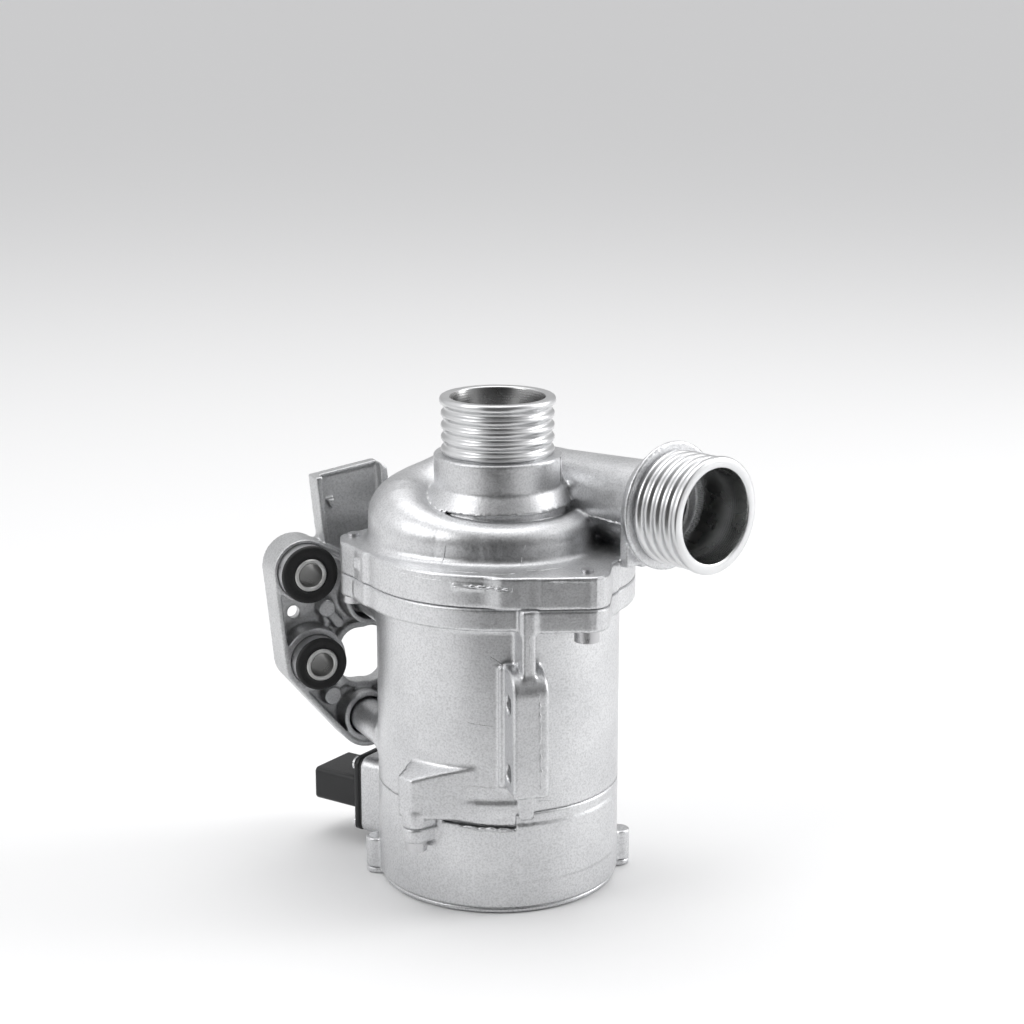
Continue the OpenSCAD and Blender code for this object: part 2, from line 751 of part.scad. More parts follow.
module rotor_can() {
    color([0.78, 0.78, 0.8]) translate([0, 0, 55]) difference() {
        cylinder(r = rotor_r, h = 32);
        translate([0, 0, 2]) cylinder(r = rotor_r - 0.8, h = 28);
        translate([0, 0, -1]) cylinder(r = shaft_r, h = 40);
    }
}

// One backward-curved blade from the eye to the rim, as an arc of constant thickness.
module blade(h) {
    r0 = 11.5;
    arc_r = 22;
    intersection() {
        translate([arc_r * 0.62, -arc_r * 0.86, 0]) ring(arc_r + 1, arc_r - 0.6, h);
        difference() {
            cylinder(r = impeller_r - 0.4, h = h);
            translate([0, 0, -1]) cylinder(r = r0, h = h + 2);
            translate([-60, -120, -1]) cube([120, 120, h + 2]);
        }
    }
}

module impeller() {
    color([0.3, 0.32, 0.36]) translate([0, 0, 112]) difference() {
        union() {
            cylinder(r = impeller_r, h = 2);
            cylinder(r1 = 9.5, r2 = 7, h = 8);
            for (i = [0 : blades - 1]) rotate([0, 0, 360 / blades * i])
                translate([0, 0, 2 - eps]) blade(6);
        }
        translate([0, 0, -1]) cylinder(r = shaft_r, h = 1.8);
        translate([0, 0, 0]) cylinder(r = 3, h = 20);
    }
}

module impeller_shroud() {
    color([0.32, 0.34, 0.38]) rotate_extrude() polygon([
        [impeller_r, 120], [impeller_r, 121.6], [20, 121.6], [17.2, 124.6], [17.2, 126.4],
        [15.6, 126.4], [15.6, 123.8], [19, 120]]);
}

module impeller_nut() {
    color([0.75, 0.75, 0.77]) translate([0, 0, 120]) difference() {
        union() {
            cylinder(r = 5.2, h = 3.6, $fn = 6);
            translate([0, 0, 3.5]) cylinder(r1 = 4.2, r2 = 3.4, h = 1);
        }
        translate([0, 0, -1]) cylinder(r = 3, h = 10);
    }
}

volute_cover();
cover_seal();
cover_screws();
motor_housing();
housing_seal();
housing_screws();
electronics_housing();
base_cover();
base_seal();
base_screws();
bearing_carrier();
upper_bearing();
containment_can();
can_seal();
lower_bearing();
thrust_washer();
stator_core();
stator_coils();
upper_insulator();
lower_insulator();
phase_terminals();
circuit_board();
capacitors();
choke();
power_module();
thermal_pad();
control_chips();
connector_body();
connector_pins();
connector_seal();
connector_screws();
bracket();
bracket_screws();
upper_bush_shell();
upper_bush_rubber();
upper_bush_sleeve();
lower_bush_shell();
lower_bush_rubber();
lower_bush_sleeve();
shaft();
rotor_core();
rotor_magnets();
rotor_can();
impeller();
impeller_shroud();
impeller_nut();
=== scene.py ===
# %% [markdown]
# # An electric coolant pump
# The pump is mostly die castings: a volute cover on top, a motor housing, an electronics housing
# and a bracket that holds two rubber bushes. The CAD frame gives every size and place in metres.
# This notebook gives every piece the shape and finish of the real one, one piece at a time.

# %% Load the frame
import bpy
import json
import math
import numpy as np
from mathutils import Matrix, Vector


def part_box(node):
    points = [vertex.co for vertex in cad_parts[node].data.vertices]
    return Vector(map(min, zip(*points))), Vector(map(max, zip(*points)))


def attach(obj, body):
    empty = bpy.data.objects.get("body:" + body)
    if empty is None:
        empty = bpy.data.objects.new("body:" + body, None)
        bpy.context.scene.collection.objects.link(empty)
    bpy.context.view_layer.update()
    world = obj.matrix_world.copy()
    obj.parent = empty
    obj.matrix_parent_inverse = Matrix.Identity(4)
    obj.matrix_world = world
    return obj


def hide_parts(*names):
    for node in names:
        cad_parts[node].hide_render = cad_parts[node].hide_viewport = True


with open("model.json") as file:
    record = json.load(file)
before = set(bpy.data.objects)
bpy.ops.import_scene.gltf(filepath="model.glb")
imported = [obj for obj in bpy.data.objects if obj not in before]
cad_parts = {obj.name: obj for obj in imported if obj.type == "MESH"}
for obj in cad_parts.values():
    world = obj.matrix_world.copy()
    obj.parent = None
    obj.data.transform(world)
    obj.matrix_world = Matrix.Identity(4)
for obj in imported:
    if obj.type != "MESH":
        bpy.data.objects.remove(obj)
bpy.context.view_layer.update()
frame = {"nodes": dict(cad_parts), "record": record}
mounts = {m["name"]: m for m in frame["record"]["mounts"]}

# %% [markdown]
# ## Distances as clay
# Castings have soft inside corners and softly rounded edges everywhere, which bevels on a
# boolean model rarely give cleanly. So each casting is described by a distance: a function that
# says how far a point is outside the metal, in millimetres, negative inside. Two such shapes are
# joined with a fillet by blending their distances. Rounded drums, blocks and plates are enough.

# %% Shapes as distances
def rounded(dx, dy, edge):
    """Where two distances both hold, with the corner between them rounded by edge."""
    dx, dy = dx + edge, dy + edge
    return np.minimum(np.maximum(dx, dy), 0) + np.hypot(np.maximum(dx, 0), np.maximum(dy, 0)) - edge


def plate(outline, depth, low, high, edge=0.7):
    """An outline given thickness, from low to high along depth."""
    return rounded(outline, np.abs(depth - (low + high) / 2) - (high - low) / 2, edge)


def drum(p, radius, low, high, edge=0.6):
    """An upright drum on the motor's axis."""
    return plate(np.hypot(p[:, 0], p[:, 1]) - radius, p[:, 2], low, high, edge)


def rod_y(p, at, radius, low, high, edge=0.5):
    """A rod that runs front to back through (x, z)."""
    return plate(np.hypot(p[:, 0] - at[0], p[:, 2] - at[1]) - radius, p[:, 1], low, high, edge)


def block(a, b, c, low, high, edge=0.8):
    """A box between two corners, in any three directions at right angles."""
    q = [np.abs(v - (l + h) / 2) - (h - l) / 2 + edge for v, l, h in zip((a, b, c), low, high)]
    out = np.sqrt(sum(np.maximum(v, 0) ** 2 for v in q))
    return out + np.minimum(np.maximum(np.maximum(q[0], q[1]), q[2]), 0) - edge


def link(u, v, a, ra, b, rb):
    """Two circles and the straight sides that touch them both, as a chain link is drawn."""
    a, b = np.array(a, float), np.array(b, float)
    length = np.linalg.norm(b - a)
    along = (b - a) / length
    y = (u - a[0]) * along[0] + (v - a[1]) * along[1]
    x = np.abs((u - a[0]) * along[1] - (v - a[1]) * along[0])
    s = (ra - rb) / length
    c = math.sqrt(1 - s * s)
    k = y * c - x * s
    side = x * c + y * s - ra
    far_end = np.where(k > c * length, np.hypot(x, y - length) - rb, side)
    return np.where(k < 0, np.hypot(x, y) - ra, far_end)


def polygon(u, v, corners):
    """Distance to a closed outline of straight lines."""
    pts = np.array(corners, float)
    best = np.full(u.shape, 1e9)
    inside = np.zeros(u.shape, bool)
    for a, b in zip(pts, np.roll(pts, -1, 0)):
        e = b - a
        t = np.clip(((u - a[0]) * e[0] + (v - a[1]) * e[1]) / (e @ e), 0, 1)
        best = np.minimum(best, np.hypot(u - a[0] - t * e[0], v - a[1] - t * e[1]))
        if a[1] != b[1]:
            cross = (a[1] > v) != (b[1] > v)
            inside ^= cross & (u < (b[0] - a[0]) * (v - a[1]) / (b[1] - a[1]) + a[0])
    return np.where(inside, -best, best)


def join(a, b, fillet=1.0):
    """Both shapes, with a soft fillet where they meet."""
    h = np.clip(0.5 + 0.5 * (b - a) / fillet, 0, 1)
    return b + (a - b) * h - fillet * h * (1 - h)


def cut(a, b, fillet=0.5):
    """The first shape without the second, with a soft rim."""
    return -join(-a, b, fillet)


def turned(p, degrees):
    """How far points lie along a direction seen from above, and to the left of it."""
    c, s = math.cos(math.radians(degrees)), math.sin(math.radians(degrees))
    return p[:, 0] * c + p[:, 1] * s, p[:, 1] * c - p[:, 0] * s


def sector(p, start, end):
    """Distance outside a wedge of directions, in millimetres along the arc."""
    az = (np.degrees(np.arctan2(p[:, 1], p[:, 0])) - (start + end) / 2 + 180) % 360 - 180
    return (np.abs(az) - (end - start) / 2) * math.pi / 180 * np.hypot(p[:, 0], p[:, 1])


print("a fillet of 1 mm adds", -float(join(0.0, 0.0, 1.0)), "mm where two surfaces touch")

# %% [markdown]
# ## From distance to skin
# The distance is sampled on a fine grid. Every grid cell that the surface passes through gets one
# vertex, and every grid edge that crosses it gets one face: this is the surface-nets method. Two
# small steps along the slope of the distance then put each vertex exactly on the surface, so a
# cylinder stays a true cylinder and the facets of the grid vanish.

# %% Surface nets
probe = 0.05


def slope_of(field, points, here):
    """How fast the distance changes in x, y and z, from its value a probe's length away."""
    return np.column_stack([(field(points + d) - here) / probe for d in np.eye(3) * probe])


def net(field, low, high, step):
    """Vertices and faces of the surface where the distance is nought."""
    axes = [np.arange(low[i] - 2 * step, high[i] + 2.5 * step, step) for i in range(3)]
    n = [len(a) for a in axes]
    g = np.empty(n, np.float32)
    flat = np.stack(np.meshgrid(axes[1], axes[2], indexing="ij"), -1).reshape(-1, 2)
    for i, x in enumerate(axes[0]):
        g[i] = field(np.column_stack([np.full(len(flat), x), flat])).reshape(n[1], n[2])
    ids, spots, faces = [], [], []
    for a in range(3):
        b, c = (a + 1) % 3, (a + 2) % 3
        g0 = np.take(g, range(n[a] - 1), a)
        g1 = np.take(g, range(1, n[a]), a)
        at = np.argwhere((g0 < 0) != (g1 < 0))
        v0, v1 = g0[tuple(at.T)], g1[tuple(at.T)]
        spot = np.column_stack([axes[k][at[:, k]] for k in range(3)]).astype(float)
        spot[:, a] += v0 / (v0 - v1) * step
        quad = []
        for ob, oc in ((-1, -1), (0, -1), (0, 0), (-1, 0)):
            cell = at.copy()
            cell[:, b] += ob
            cell[:, c] += oc
            quad.append((cell[:, 0] * n[1] + cell[:, 1]) * n[2] + cell[:, 2])
            ids.append(quad[-1])
            spots.append(spot)
        quad = np.column_stack(quad)
        faces.append(np.where((v0 < 0)[:, None], quad, quad[:, ::-1]))
    ids, spots = np.concatenate(ids), np.concatenate(spots)
    keys, back = np.unique(ids, return_inverse=True)
    count = np.bincount(back)
    verts = np.column_stack([np.bincount(back, spots[:, k]) / count for k in range(3)])
    faces = np.searchsorted(keys, np.concatenate(faces))
    for _ in range(2):
        f = field(verts)
        slope = slope_of(field, verts, f)
        size = np.maximum((slope ** 2).sum(1), 0.3)
        verts -= np.clip(f / size, -0.4 * step, 0.4 * step)[:, None] * slope
    return verts, faces


def mesh_piece(name, verts, faces, material):
    """Vertices in millimetres become a smooth object in metres, placed at the origin."""
    mesh = bpy.data.meshes.new(name)
    mesh.from_pydata((np.asarray(verts) * 0.001).tolist(), [], [list(map(int, f)) for f in faces])
    mesh.polygons.foreach_set("use_smooth", [True] * len(mesh.polygons))
    mesh.materials.append(material)
    mesh.update()
    piece = bpy.data.objects.new(name, mesh)
    bpy.context.collection.objects.link(piece)
    return piece


def casting(name, field, low, high, step, material):
    verts, faces = net(field, low, high, step)
    piece = mesh_piece(name, verts, faces, material)
    print(name, len(faces), "faces")
    return piece


# %% [markdown]
# ## Turned parts
# Spigots, bushes, sleeves and screw heads are turned on a lathe, so they are a half profile swept
# round an axis. Corners in the profile are cut short by a small chamfer, because a real edge
# always catches a line of light.

# %% The lathe
def chamfered(points, size):
    """Cuts every corner of a closed outline short."""
    out = []
    for i, p in enumerate(points):
        p = np.array(p[:2], float)
        a = np.array(points[i - 1][:2], float)
        b = np.array(points[(i + 1) % len(points)][:2], float)
        la, lb = np.linalg.norm(a - p), np.linalg.norm(b - p)
        c = min(size, la * 0.35, lb * 0.35)
        out += [p + (a - p) / la * c, p + (b - p) / lb * c]
    return out


def lathe(name, profile, origin, axis, material, steps=160, chamfer=0.25):
    """A closed (radius, height) outline turned round an axis; heights run along the axis."""
    ring = np.array(chamfered(profile, chamfer))
    k = np.array(Vector(axis).normalized())
    i = np.array(Vector(axis).orthogonal().normalized())
    j = np.cross(k, i)
    turn = np.arange(steps) * 2 * math.pi / steps
    spin = np.cos(turn)[:, None] * i + np.sin(turn)[:, None] * j
    out, up = ring[None, :, 0, None] * spin[:, None, :], ring[None, :, 1, None] * k
    verts = np.array(origin, float) + out + up
    m = len(ring)
    faces = []
    for s in range(steps):
        this, after = s * m, (s + 1) % steps * m
        faces += [(this + q, after + q, after + (q + 1) % m, this + (q + 1) % m) for q in range(m)]
    area = sum(a[0] * b[1] - b[0] * a[1] for a, b in zip(ring, np.roll(ring, -1, 0)))
    if area < 0:
        faces = [f[::-1] for f in faces]
    piece = mesh_piece(name, verts.reshape(-1, 3), faces, material)
    piece.data.set_sharp_from_angle(angle=math.radians(32))
    return piece


square = [(0, 0), (1, 0), (1, 1), (0, 1)]
print("a square has", len(chamfered(square, 0.2)), "corners once chamfered")

# %% [markdown]
# ## Metal that has been blasted
# Die-cast aluminium is bead blasted after casting, so it is a satin metal: its roughness is
# near the middle, its grain is fine, and slow cloudy changes of tone run over it. Grain and
# clouds come from two sizes of noise on object coordinates, which stay put as the pump turns.

# %% Material helpers
def new_material(name, colour, metallic, roughness):
    m = bpy.data.materials.new(name)
    m.use_nodes = True
    shader = m.node_tree.nodes["Principled BSDF"]
    shader.inputs["Base Color"].default_value = (*colour, 1)
    shader.inputs["Metallic"].default_value = metallic
    shader.inputs["Roughness"].default_value = roughness
    return m, m.node_tree, shader


def noise(tree, scale, detail=3.0, rough=0.55, stretch=None):
    coords = tree.nodes.new("ShaderNodeTexCoord")
    tex = tree.nodes.new("ShaderNodeTexNoise")
    tex.inputs["Scale"].default_value = scale
    tex.inputs["Detail"].default_value = detail
    tex.inputs["Roughness"].default_value = rough
    if stretch:
        mapping = tree.nodes.new("ShaderNodeMapping")
        mapping.inputs["Scale"].default_value = stretch
        tree.links.new(coords.outputs["Object"], mapping.inputs["Vector"])
        tree.links.new(mapping.outputs["Vector"], tex.inputs["Vector"])
    else:
        tree.links.new(coords.outputs["Object"], tex.inputs["Vector"])
    return tex.outputs["Fac"]


def between(tree, value, low, high, start=0.3, end=0.7):
    node = tree.nodes.new("ShaderNodeMapRange")
    node.inputs["From Min"].default_value, node.inputs["From Max"].default_value = start, end
    node.inputs["To Min"].default_value, node.inputs["To Max"].default_value = low, high
    tree.links.new(value, node.inputs["Value"])
    return node.outputs["Result"]


def blend_colours(tree, value, dark, light, start=0.35, end=0.65):
    ramp = tree.nodes.new("ShaderNodeValToRGB")
    ramp.color_ramp.elements[0].position, ramp.color_ramp.elements[1].position = start, end
    ramp.color_ramp.elements[0].color, ramp.color_ramp.elements[1].color = (*dark, 1), (*light, 1)
    tree.links.new(value, ramp.inputs["Fac"])
    return ramp.outputs["Color"]


def bumps(tree, shader, *heights):
    """Each height is (value, distance in metres, strength); they stack on one another."""
    last = None
    for value, distance, strength in heights:
        b = tree.nodes.new("ShaderNodeBump")
        b.inputs["Distance"].default_value = distance
        b.inputs["Strength"].default_value = strength
        tree.links.new(value, b.inputs["Height"])
        if last:
            tree.links.new(last, b.inputs["Normal"])
        last = b.outputs["Normal"]
    tree.links.new(last, shader.inputs["Normal"])


# %% [markdown]
# ## Cast aluminium
# The grain does two things: it darkens the metal a little from grain to grain, and it lifts the
# surface by about a tenth of a millimetre. A few deeper pits come from the peaks of a third
# noise. The bracket is another casting, so it gets a darker and coarser version.

# %% Cast aluminium, and the darker casting of the bracket
def cast_metal(name, dark, light, rough_low, rough_high, grain=1.0):
    m, tree, shader = new_material(name, light, 1.0, rough_high)
    clouds = blend_colours(tree, noise(tree, 34, 4), dark, light)
    mix = tree.nodes.new("ShaderNodeMix")
    mix.data_type, mix.blend_type = "RGBA", "MULTIPLY"
    mix.inputs["Factor"].default_value = 1.0
    tree.links.new(clouds, mix.inputs["A"])
    speckle = blend_colours(tree, noise(tree, 1500, 2), (0.78,) * 3, (1, 1, 1), 0.3, 0.6)
    tree.links.new(speckle, mix.inputs["B"])
    tree.links.new(mix.outputs["Result"], shader.inputs["Base Color"])
    uneven = between(tree, noise(tree, 420, 3), rough_low, rough_high)
    tree.links.new(uneven, shader.inputs["Roughness"])
    pits = between(tree, noise(tree, 700, 2), 0, 1, 0.64, 0.76)
    bumps(tree, shader, (noise(tree, 90, 3), 0.0002, 0.3 * grain),
          (noise(tree, 1300, 2), 0.00012, 0.5 * grain), (pits, 0.00006, -0.5 * grain))
    return m


aluminium = cast_metal("cast_aluminium", (0.66, 0.665, 0.675), (0.76, 0.765, 0.775), 0.36, 0.46)
bracket_metal = cast_metal("cast_bracket", (0.54, 0.545, 0.55), (0.66, 0.665, 0.67), 0.4, 0.5, 1.3)
print("castings:", aluminium.name, bracket_metal.name)

# %% [markdown]
# ## Turned metal
# A lathe leaves fine rings, so the spigots get a wave along their own axis under a lower
# roughness. Inside a bore the rings are deeper, because a boring bar leaves a rougher feed mark.
# The bores also get a much darker colour than the outside, as painted shade inside them.

# %% Turned aluminium
def turned_metal(name, colour, roughness, axis, pitch=0.0011, marks=0.06):
    m, tree, shader = new_material(name, colour, 1.0, roughness)
    coords = tree.nodes.new("ShaderNodeTexCoord")
    dot = tree.nodes.new("ShaderNodeVectorMath")
    dot.operation = "DOT_PRODUCT"
    dot.inputs[1].default_value = tuple(Vector(axis).normalized())
    tree.links.new(coords.outputs["Object"], dot.inputs[0])
    line = tree.nodes.new("ShaderNodeMath")
    line.operation = "MULTIPLY"
    line.inputs[1].default_value = 2 * math.pi / pitch
    tree.links.new(dot.outputs["Value"], line.inputs[0])
    wave = tree.nodes.new("ShaderNodeMath")
    wave.operation = "SINE"
    tree.links.new(line.outputs[0], wave.inputs[0])
    bumps(tree, shader, (wave.outputs[0], 0.00001, marks), (noise(tree, 500, 2), 0.00001, 0.12))
    tree.links.new(between(tree, noise(tree, 160, 3), roughness - 0.04, roughness + 0.04),
                   shader.inputs["Roughness"])
    tones = blend_colours(tree, noise(tree, 60, 4), tuple(c * 0.9 for c in colour), colour)
    tree.links.new(tones, shader.inputs["Base Color"])
    return m


outlet_axis = mounts["outlet"]["axis"]
inlet_metal = turned_metal("turned_inlet", (0.74, 0.745, 0.75), 0.34, (0, 0, 1))
outlet_metal = turned_metal("turned_outlet", (0.74, 0.745, 0.75), 0.34, outlet_axis)
# Darker colours for the bores of the spigots and the bolt sleeves: painted shade inside the holes.
shaded_inlet_bore = turned_metal("shaded_bore_inlet", (0.40, 0.40, 0.40), 0.27, (0, 0, 1), 0.0009, 0.4)
shaded_outlet_bore = turned_metal("shaded_bore_outlet", (0.5, 0.505, 0.5), 0.26, outlet_axis, 0.0009, 0.3)
shaded_sleeve_bore = turned_metal("shaded_sleeve_bore", (0.2, 0.2, 0.195), 0.3, (0, 1, 0), 0.0009, 0.2)
sleeve_metal = turned_metal("sleeve_steel", (0.55, 0.55, 0.54), 0.36, (0, 1, 0), 0.0009, 0.2)


# %% [markdown]
# ## Steel, rubber and plastic
# Rubber and moulded plastic are not metal: they differ from each other in how tight their shine
# is, and in the size of their grain. One small recipe serves all of them, with a grain that moves
# both the height and the roughness, so that no surface is perfectly even.

# %% Steel, rubber, plastic and the inner materials
def plain(name, colour, metallic, roughness, scale, depth, spread=0.06):
    m, tree, shader = new_material(name, colour, metallic, roughness)
    grain = noise(tree, scale, 3)
    dark = tuple(c * 0.82 for c in colour)
    tones = blend_colours(tree, noise(tree, scale / 18, 3), dark, colour)
    tree.links.new(tones, shader.inputs["Base Color"])
    uneven = between(tree, grain, roughness - spread, roughness + spread)
    tree.links.new(uneven, shader.inputs["Roughness"])
    bumps(tree, shader, (grain, depth, 0.5))
    return m


zinc = plain("zinc_steel", (0.62, 0.62, 0.63), 1.0, 0.32, 900, 0.00003)
bright_screw = plain("bright_screw", (0.85, 0.85, 0.86), 1.0, 0.18, 700, 0.00001)
rubber = plain("bush_rubber", (0.006, 0.006, 0.0065), 0.0, 0.6, 1600, 0.00004)
seal = plain("seal_rubber", (0.02, 0.02, 0.02), 0.0, 0.5, 1200, 0.00002)
black_plastic = plain("black_plastic", (0.009, 0.0095, 0.0105), 0.0, 0.4, 2600, 0.00003)
dark_polymer = plain("dark_polymer", (0.06, 0.062, 0.07), 0.0, 0.4, 1500, 0.00003)
pale_polymer = plain("pale_polymer", (0.7, 0.67, 0.58), 0.0, 0.45, 1200, 0.00002)
carbon = plain("carbon_sleeve", (0.03, 0.03, 0.032), 0.0, 0.35, 1800, 0.00002)
ceramic = plain("ceramic", (0.8, 0.79, 0.75), 0.0, 0.2, 900, 0.00001)
laminated = plain("laminated_steel", (0.35, 0.36, 0.37), 1.0, 0.4, 1400, 0.00003)
ground_steel = plain("ground_steel", (0.75, 0.75, 0.76), 1.0, 0.2, 1600, 0.00001)
magnet = plain("magnet", (0.3, 0.3, 0.32), 1.0, 0.3, 900, 0.00002)
copper = plain("copper", (0.80, 0.42, 0.22), 1.0, 0.3, 1500, 0.00003)
board = plain("circuit_board", (0.02, 0.16, 0.07), 0.0, 0.35, 700, 0.00002)
print("materials:", len(bpy.data.materials))

# %% [markdown]
# ## The shared flange
# The cover and the motor housing meet at a flange with four screw ears. Seen from above it is a
# circle joined with an outline for each ear, and both castings use the same plan, so their edges
# line up all the way round. The front ear has a long straight run on its left side.

# %% Common plan of the flange and its four screw ears
ears = [(8.7, -50.2), (-42.76, 26.3), (8.4, 49.7), (49.2, 11.2)]
flange_r = 47.45
joint_z = 109.3
top_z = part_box("volute_cover")[1].z * 1000


def flange_plan(p, first_left=((-18.2, -43.8), (-8.3, -51.2)), sweep=9.0):
    x, y = p[:, 0], p[:, 1]
    d = np.hypot(x, y) - flange_r
    front = polygon(x, y, [*first_left, (8.4, -57.7), (11.6, -57.1), (15.2, -54), (17.4, -50.4),
                           (21, -44.6), (25.7, -40.7), (20, -30), (-8, -38)])
    front = np.minimum(front, np.hypot(x - ears[0][0], y - ears[0][1]) - 7.3)
    d = join(d, front, np.interp(x, [-15, -6], [sweep, 1.0]))
    left = polygon(x, y, [(-47.2, 4.6), (-50.1, 19.6), (-49.6, 21.8), (-47.2, 27.9), (-41.9, 30.9),
                          (-28, 37.5), (-30, 10)])
    left = np.minimum(left, np.hypot(x - ears[1][0], y - ears[1][1]) - 4.7)
    d = join(d, left, np.interp(y, [8, 16], [5, 1.0]))
    for e in ears[2:]:
        d = join(d, link(x, y, e, 7.4, (e[0] * 0.7, e[1] * 0.7), 10.5), 3)
    return d


print("flange radius", flange_r, "with", len(ears), "ears, joint at height", joint_z)

# %% [markdown]
# ## The spiral
# The cover is a spiral: it starts small under the outlet, grows clockwise round the front, the
# left and the back, and leaves as a straight pipe. Its wall radius and the height of its crown
# are two curves over the turn, read by interpolation, and a round tube climbs out of the back.

# %% The spiral
turn_at = [0, 33, 65, 89, 100, 109, 122, 135, 148, 180, 210, 240, 282, 300, 322, 342, 360]
wall_r = [34.6, 35, 34.8, 36.6, 38.4, 40.2, 42.4, 43.6, 44.8, 45.8, 45.8, 45, 42.5, 38, 32.6, 33.4,
          34.6]
crown_z = [132.3, 132.6, 133.0, 134, 135, 136, 137.8, 139.6, 141, 142, 141.6, 140.6, 137, 134, 132,
           132, 132.3]
climb_at = [150, 215, 282]
neck_r = 20.5
outlet_dir = np.array(outlet_axis[:2])
foot = np.array([28.6, 9.0])
outlet_z = 136.8
outlet_end = 73.4
pipe_low = 1.5
pipe_length = 46.4
pipe_r = (12.3, 15.2)


def spiral(p):
    """The bowl is a ring of changing width round the neck; the tube climbs out of its back."""
    x, y, z = p.T
    rho = np.hypot(x, y)
    turn = (-60.5 - np.degrees(np.arctan2(y, x))) % 360
    r, top = np.interp(turn, turn_at, wall_r), np.interp(turn, turn_at, crown_z)
    half = (r - neck_r) / 2
    height = np.abs(z - (100 + top) / 2) - (top - 100) / 2
    ring = rounded(np.abs(rho - neck_r - half) - half, height, half)
    dome = join(ring, drum(p, 30, 100, 126, 2), 3)
    past = np.maximum(np.maximum(turn - climb_at[2], climb_at[0] - turn), 0) * math.pi / 180 * rho
    rise = np.interp(turn, climb_at, [124.5, 134.3, outlet_z - pipe_low])
    tube_r = np.interp(turn, climb_at, [13.6, 13.8, pipe_r[0]])
    return dome, np.hypot(np.hypot(rho - 30, z - rise), past) - tube_r


def chamber(p):
    """Room for the impeller and the water, a few millimetres inside the skin."""
    dome, tube = spiral(p)
    wheel = drum(p, 31.5, 113, 129.2, 2.5)
    return np.maximum(join(np.minimum(dome, tube) + 3.6, wheel, 1.0), 113 - p[:, 2])


def outlet_frame(p):
    """How far points lie along the outlet from its foot, and to the left of it."""
    x, y = p[:, 0] - foot[0], p[:, 1] - foot[1]
    return x * outlet_dir[0] + y * outlet_dir[1], -x * outlet_dir[1] + y * outlet_dir[0]


print("pipe grows from", pipe_r[0], "to", pipe_r[1], "mm over", pipe_length, "mm")

# %% [markdown]
# ## The volute cover
# The rest of the cover is added to the spiral in the order a pattern maker would glue it on:
# the pipe, the flange, a web under the pipe, the disc behind the hose end, and the stepped neck
# with its skirt. Small lugs and a patch follow. The water's way is cut out at the end, so that
# the bores look into a real hollow.

# %% Volute cover
back_az = -169.0
gusset_az = -27.0
neck_step_r = 21.9


def volute_field(p):
    x, y, z = p.T
    rho = np.hypot(x, y)
    s, v = outlet_frame(p)
    rr = np.hypot(v, z - outlet_z)
    dome, tube = spiral(p)
    pr = np.hypot(v, z - outlet_z + pipe_low)
    pipe = rounded(pr - np.interp(s, [0, pipe_length], pipe_r), np.abs(s - 24) - 26, 1.0)
    pipe = np.minimum(pipe, np.hypot(pr, s) - pipe_r[0])
    d = join(dome, np.minimum(tube, pipe), 2.0)
    d = join(d, plate(flange_plan(p), z, joint_z + 0.08, 120.2, 0.55), 3.4)
    knee = block(s, v, z, (46.7, -18, 117.8), (50.2, 0, outlet_z), 0.35)
    under = block(s, v, z, (8, -4, 114), (44, 2, outlet_z - 8), 1.0)
    d = join(d, np.minimum(knee, under), 0.8)
    disc = rounded(rr - neck_step_r, np.abs(s - 50) - 3.5, 0.35)
    disc = np.maximum(disc, (rr - neck_step_r - (s - 52.4) * 0.8) * 0.78)
    d = join(d, disc, 0.5)
    d = join(d, drum(p, 23.6, 120, 136, 0.4), 1.2)
    cone = (rho - neck_step_r - (140.6 - z) * 0.61) * 0.854
    d = np.minimum(d, np.maximum(cone, np.maximum(134.5 - z, z - 146)))
    d = join(d, drum(p, neck_step_r, 130, 151, 0.45), 0.4)
    patch = np.maximum(np.abs(z - 116.5) - 0.85, sector(p, -133.4, -109.2))
    d = np.minimum(d, rounded(patch, np.abs(rho - 46) - 1.9, 0.15))
    nub = block(*turned(p, back_az), z, (40, -19.6, 113.2), (46.7, -15.8, 117), 0.35)
    d = join(d, nub, 0.4)
    reach, aside = turned(p, gusset_az)
    gusset = block(reach, aside, z, (16, -0.9, 130), (26.4, 0.9, 144), 0.3)
    gusset = np.maximum(gusset, (reach - 21.8 - (143.5 - z) * 0.62) * 0.85)
    d = join(d, gusset, 1.0)
    hollow = chamber(p)
    bore = np.maximum(pr - np.interp(s, [0, 50], [9, 11.8]), np.abs(s - 27) - 27)
    hollow = np.minimum(join(hollow, bore, 1.5), np.maximum(rr - 16, 49.9 - s))
    hollow = np.maximum(hollow, -drum(p, 19.4, 127.2, 160, 0.5))
    hollow = np.minimum(hollow, drum(p, 33, 100, 116, 0.5))
    hollow = np.minimum(hollow, drum(p, 16.25, 115, 170, 0.2))
    return cut(d, hollow, 0.4)


volute = casting("volute_casting", volute_field, (-54, -66, 109), (72, 60, 159.5), 0.76, aluminium)

# %% [markdown]
# ## Ridged hose ends
# Both spigots are turned after casting: a plain land, four ridges that grip the hose and a wider
# bead on the lip. One profile serves both, placed once upright and once along the outlet.

# %% Spigots
spigot_depth = 23.5
groove_r, ridge_r, lip_r = 18.35, 19.4, 19.87
ridge_at = (18.2, 14.1, 10.0, 5.9)


def spigot_profile(bore):
    """Half the section of a hose end, with its heights counted back from the lip."""
    pts = [(bore, -spigot_depth), (groove_r + 0.2, -spigot_depth)]
    for h in ridge_at:
        pts += [(groove_r, -h - 1.5), (19.1, -h - 1.0), (ridge_r, -h - 0.3), (ridge_r, -h + 0.3),
                (19.1, -h + 0.9), (groove_r, -h + 1.4)]
    return pts + [(groove_r, -3.2), (19.5, -2.5), (lip_r, -1.9), (lip_r, -0.8), (19.4, 0),
                  (bore + 0.5, 0), (bore, -0.5)]


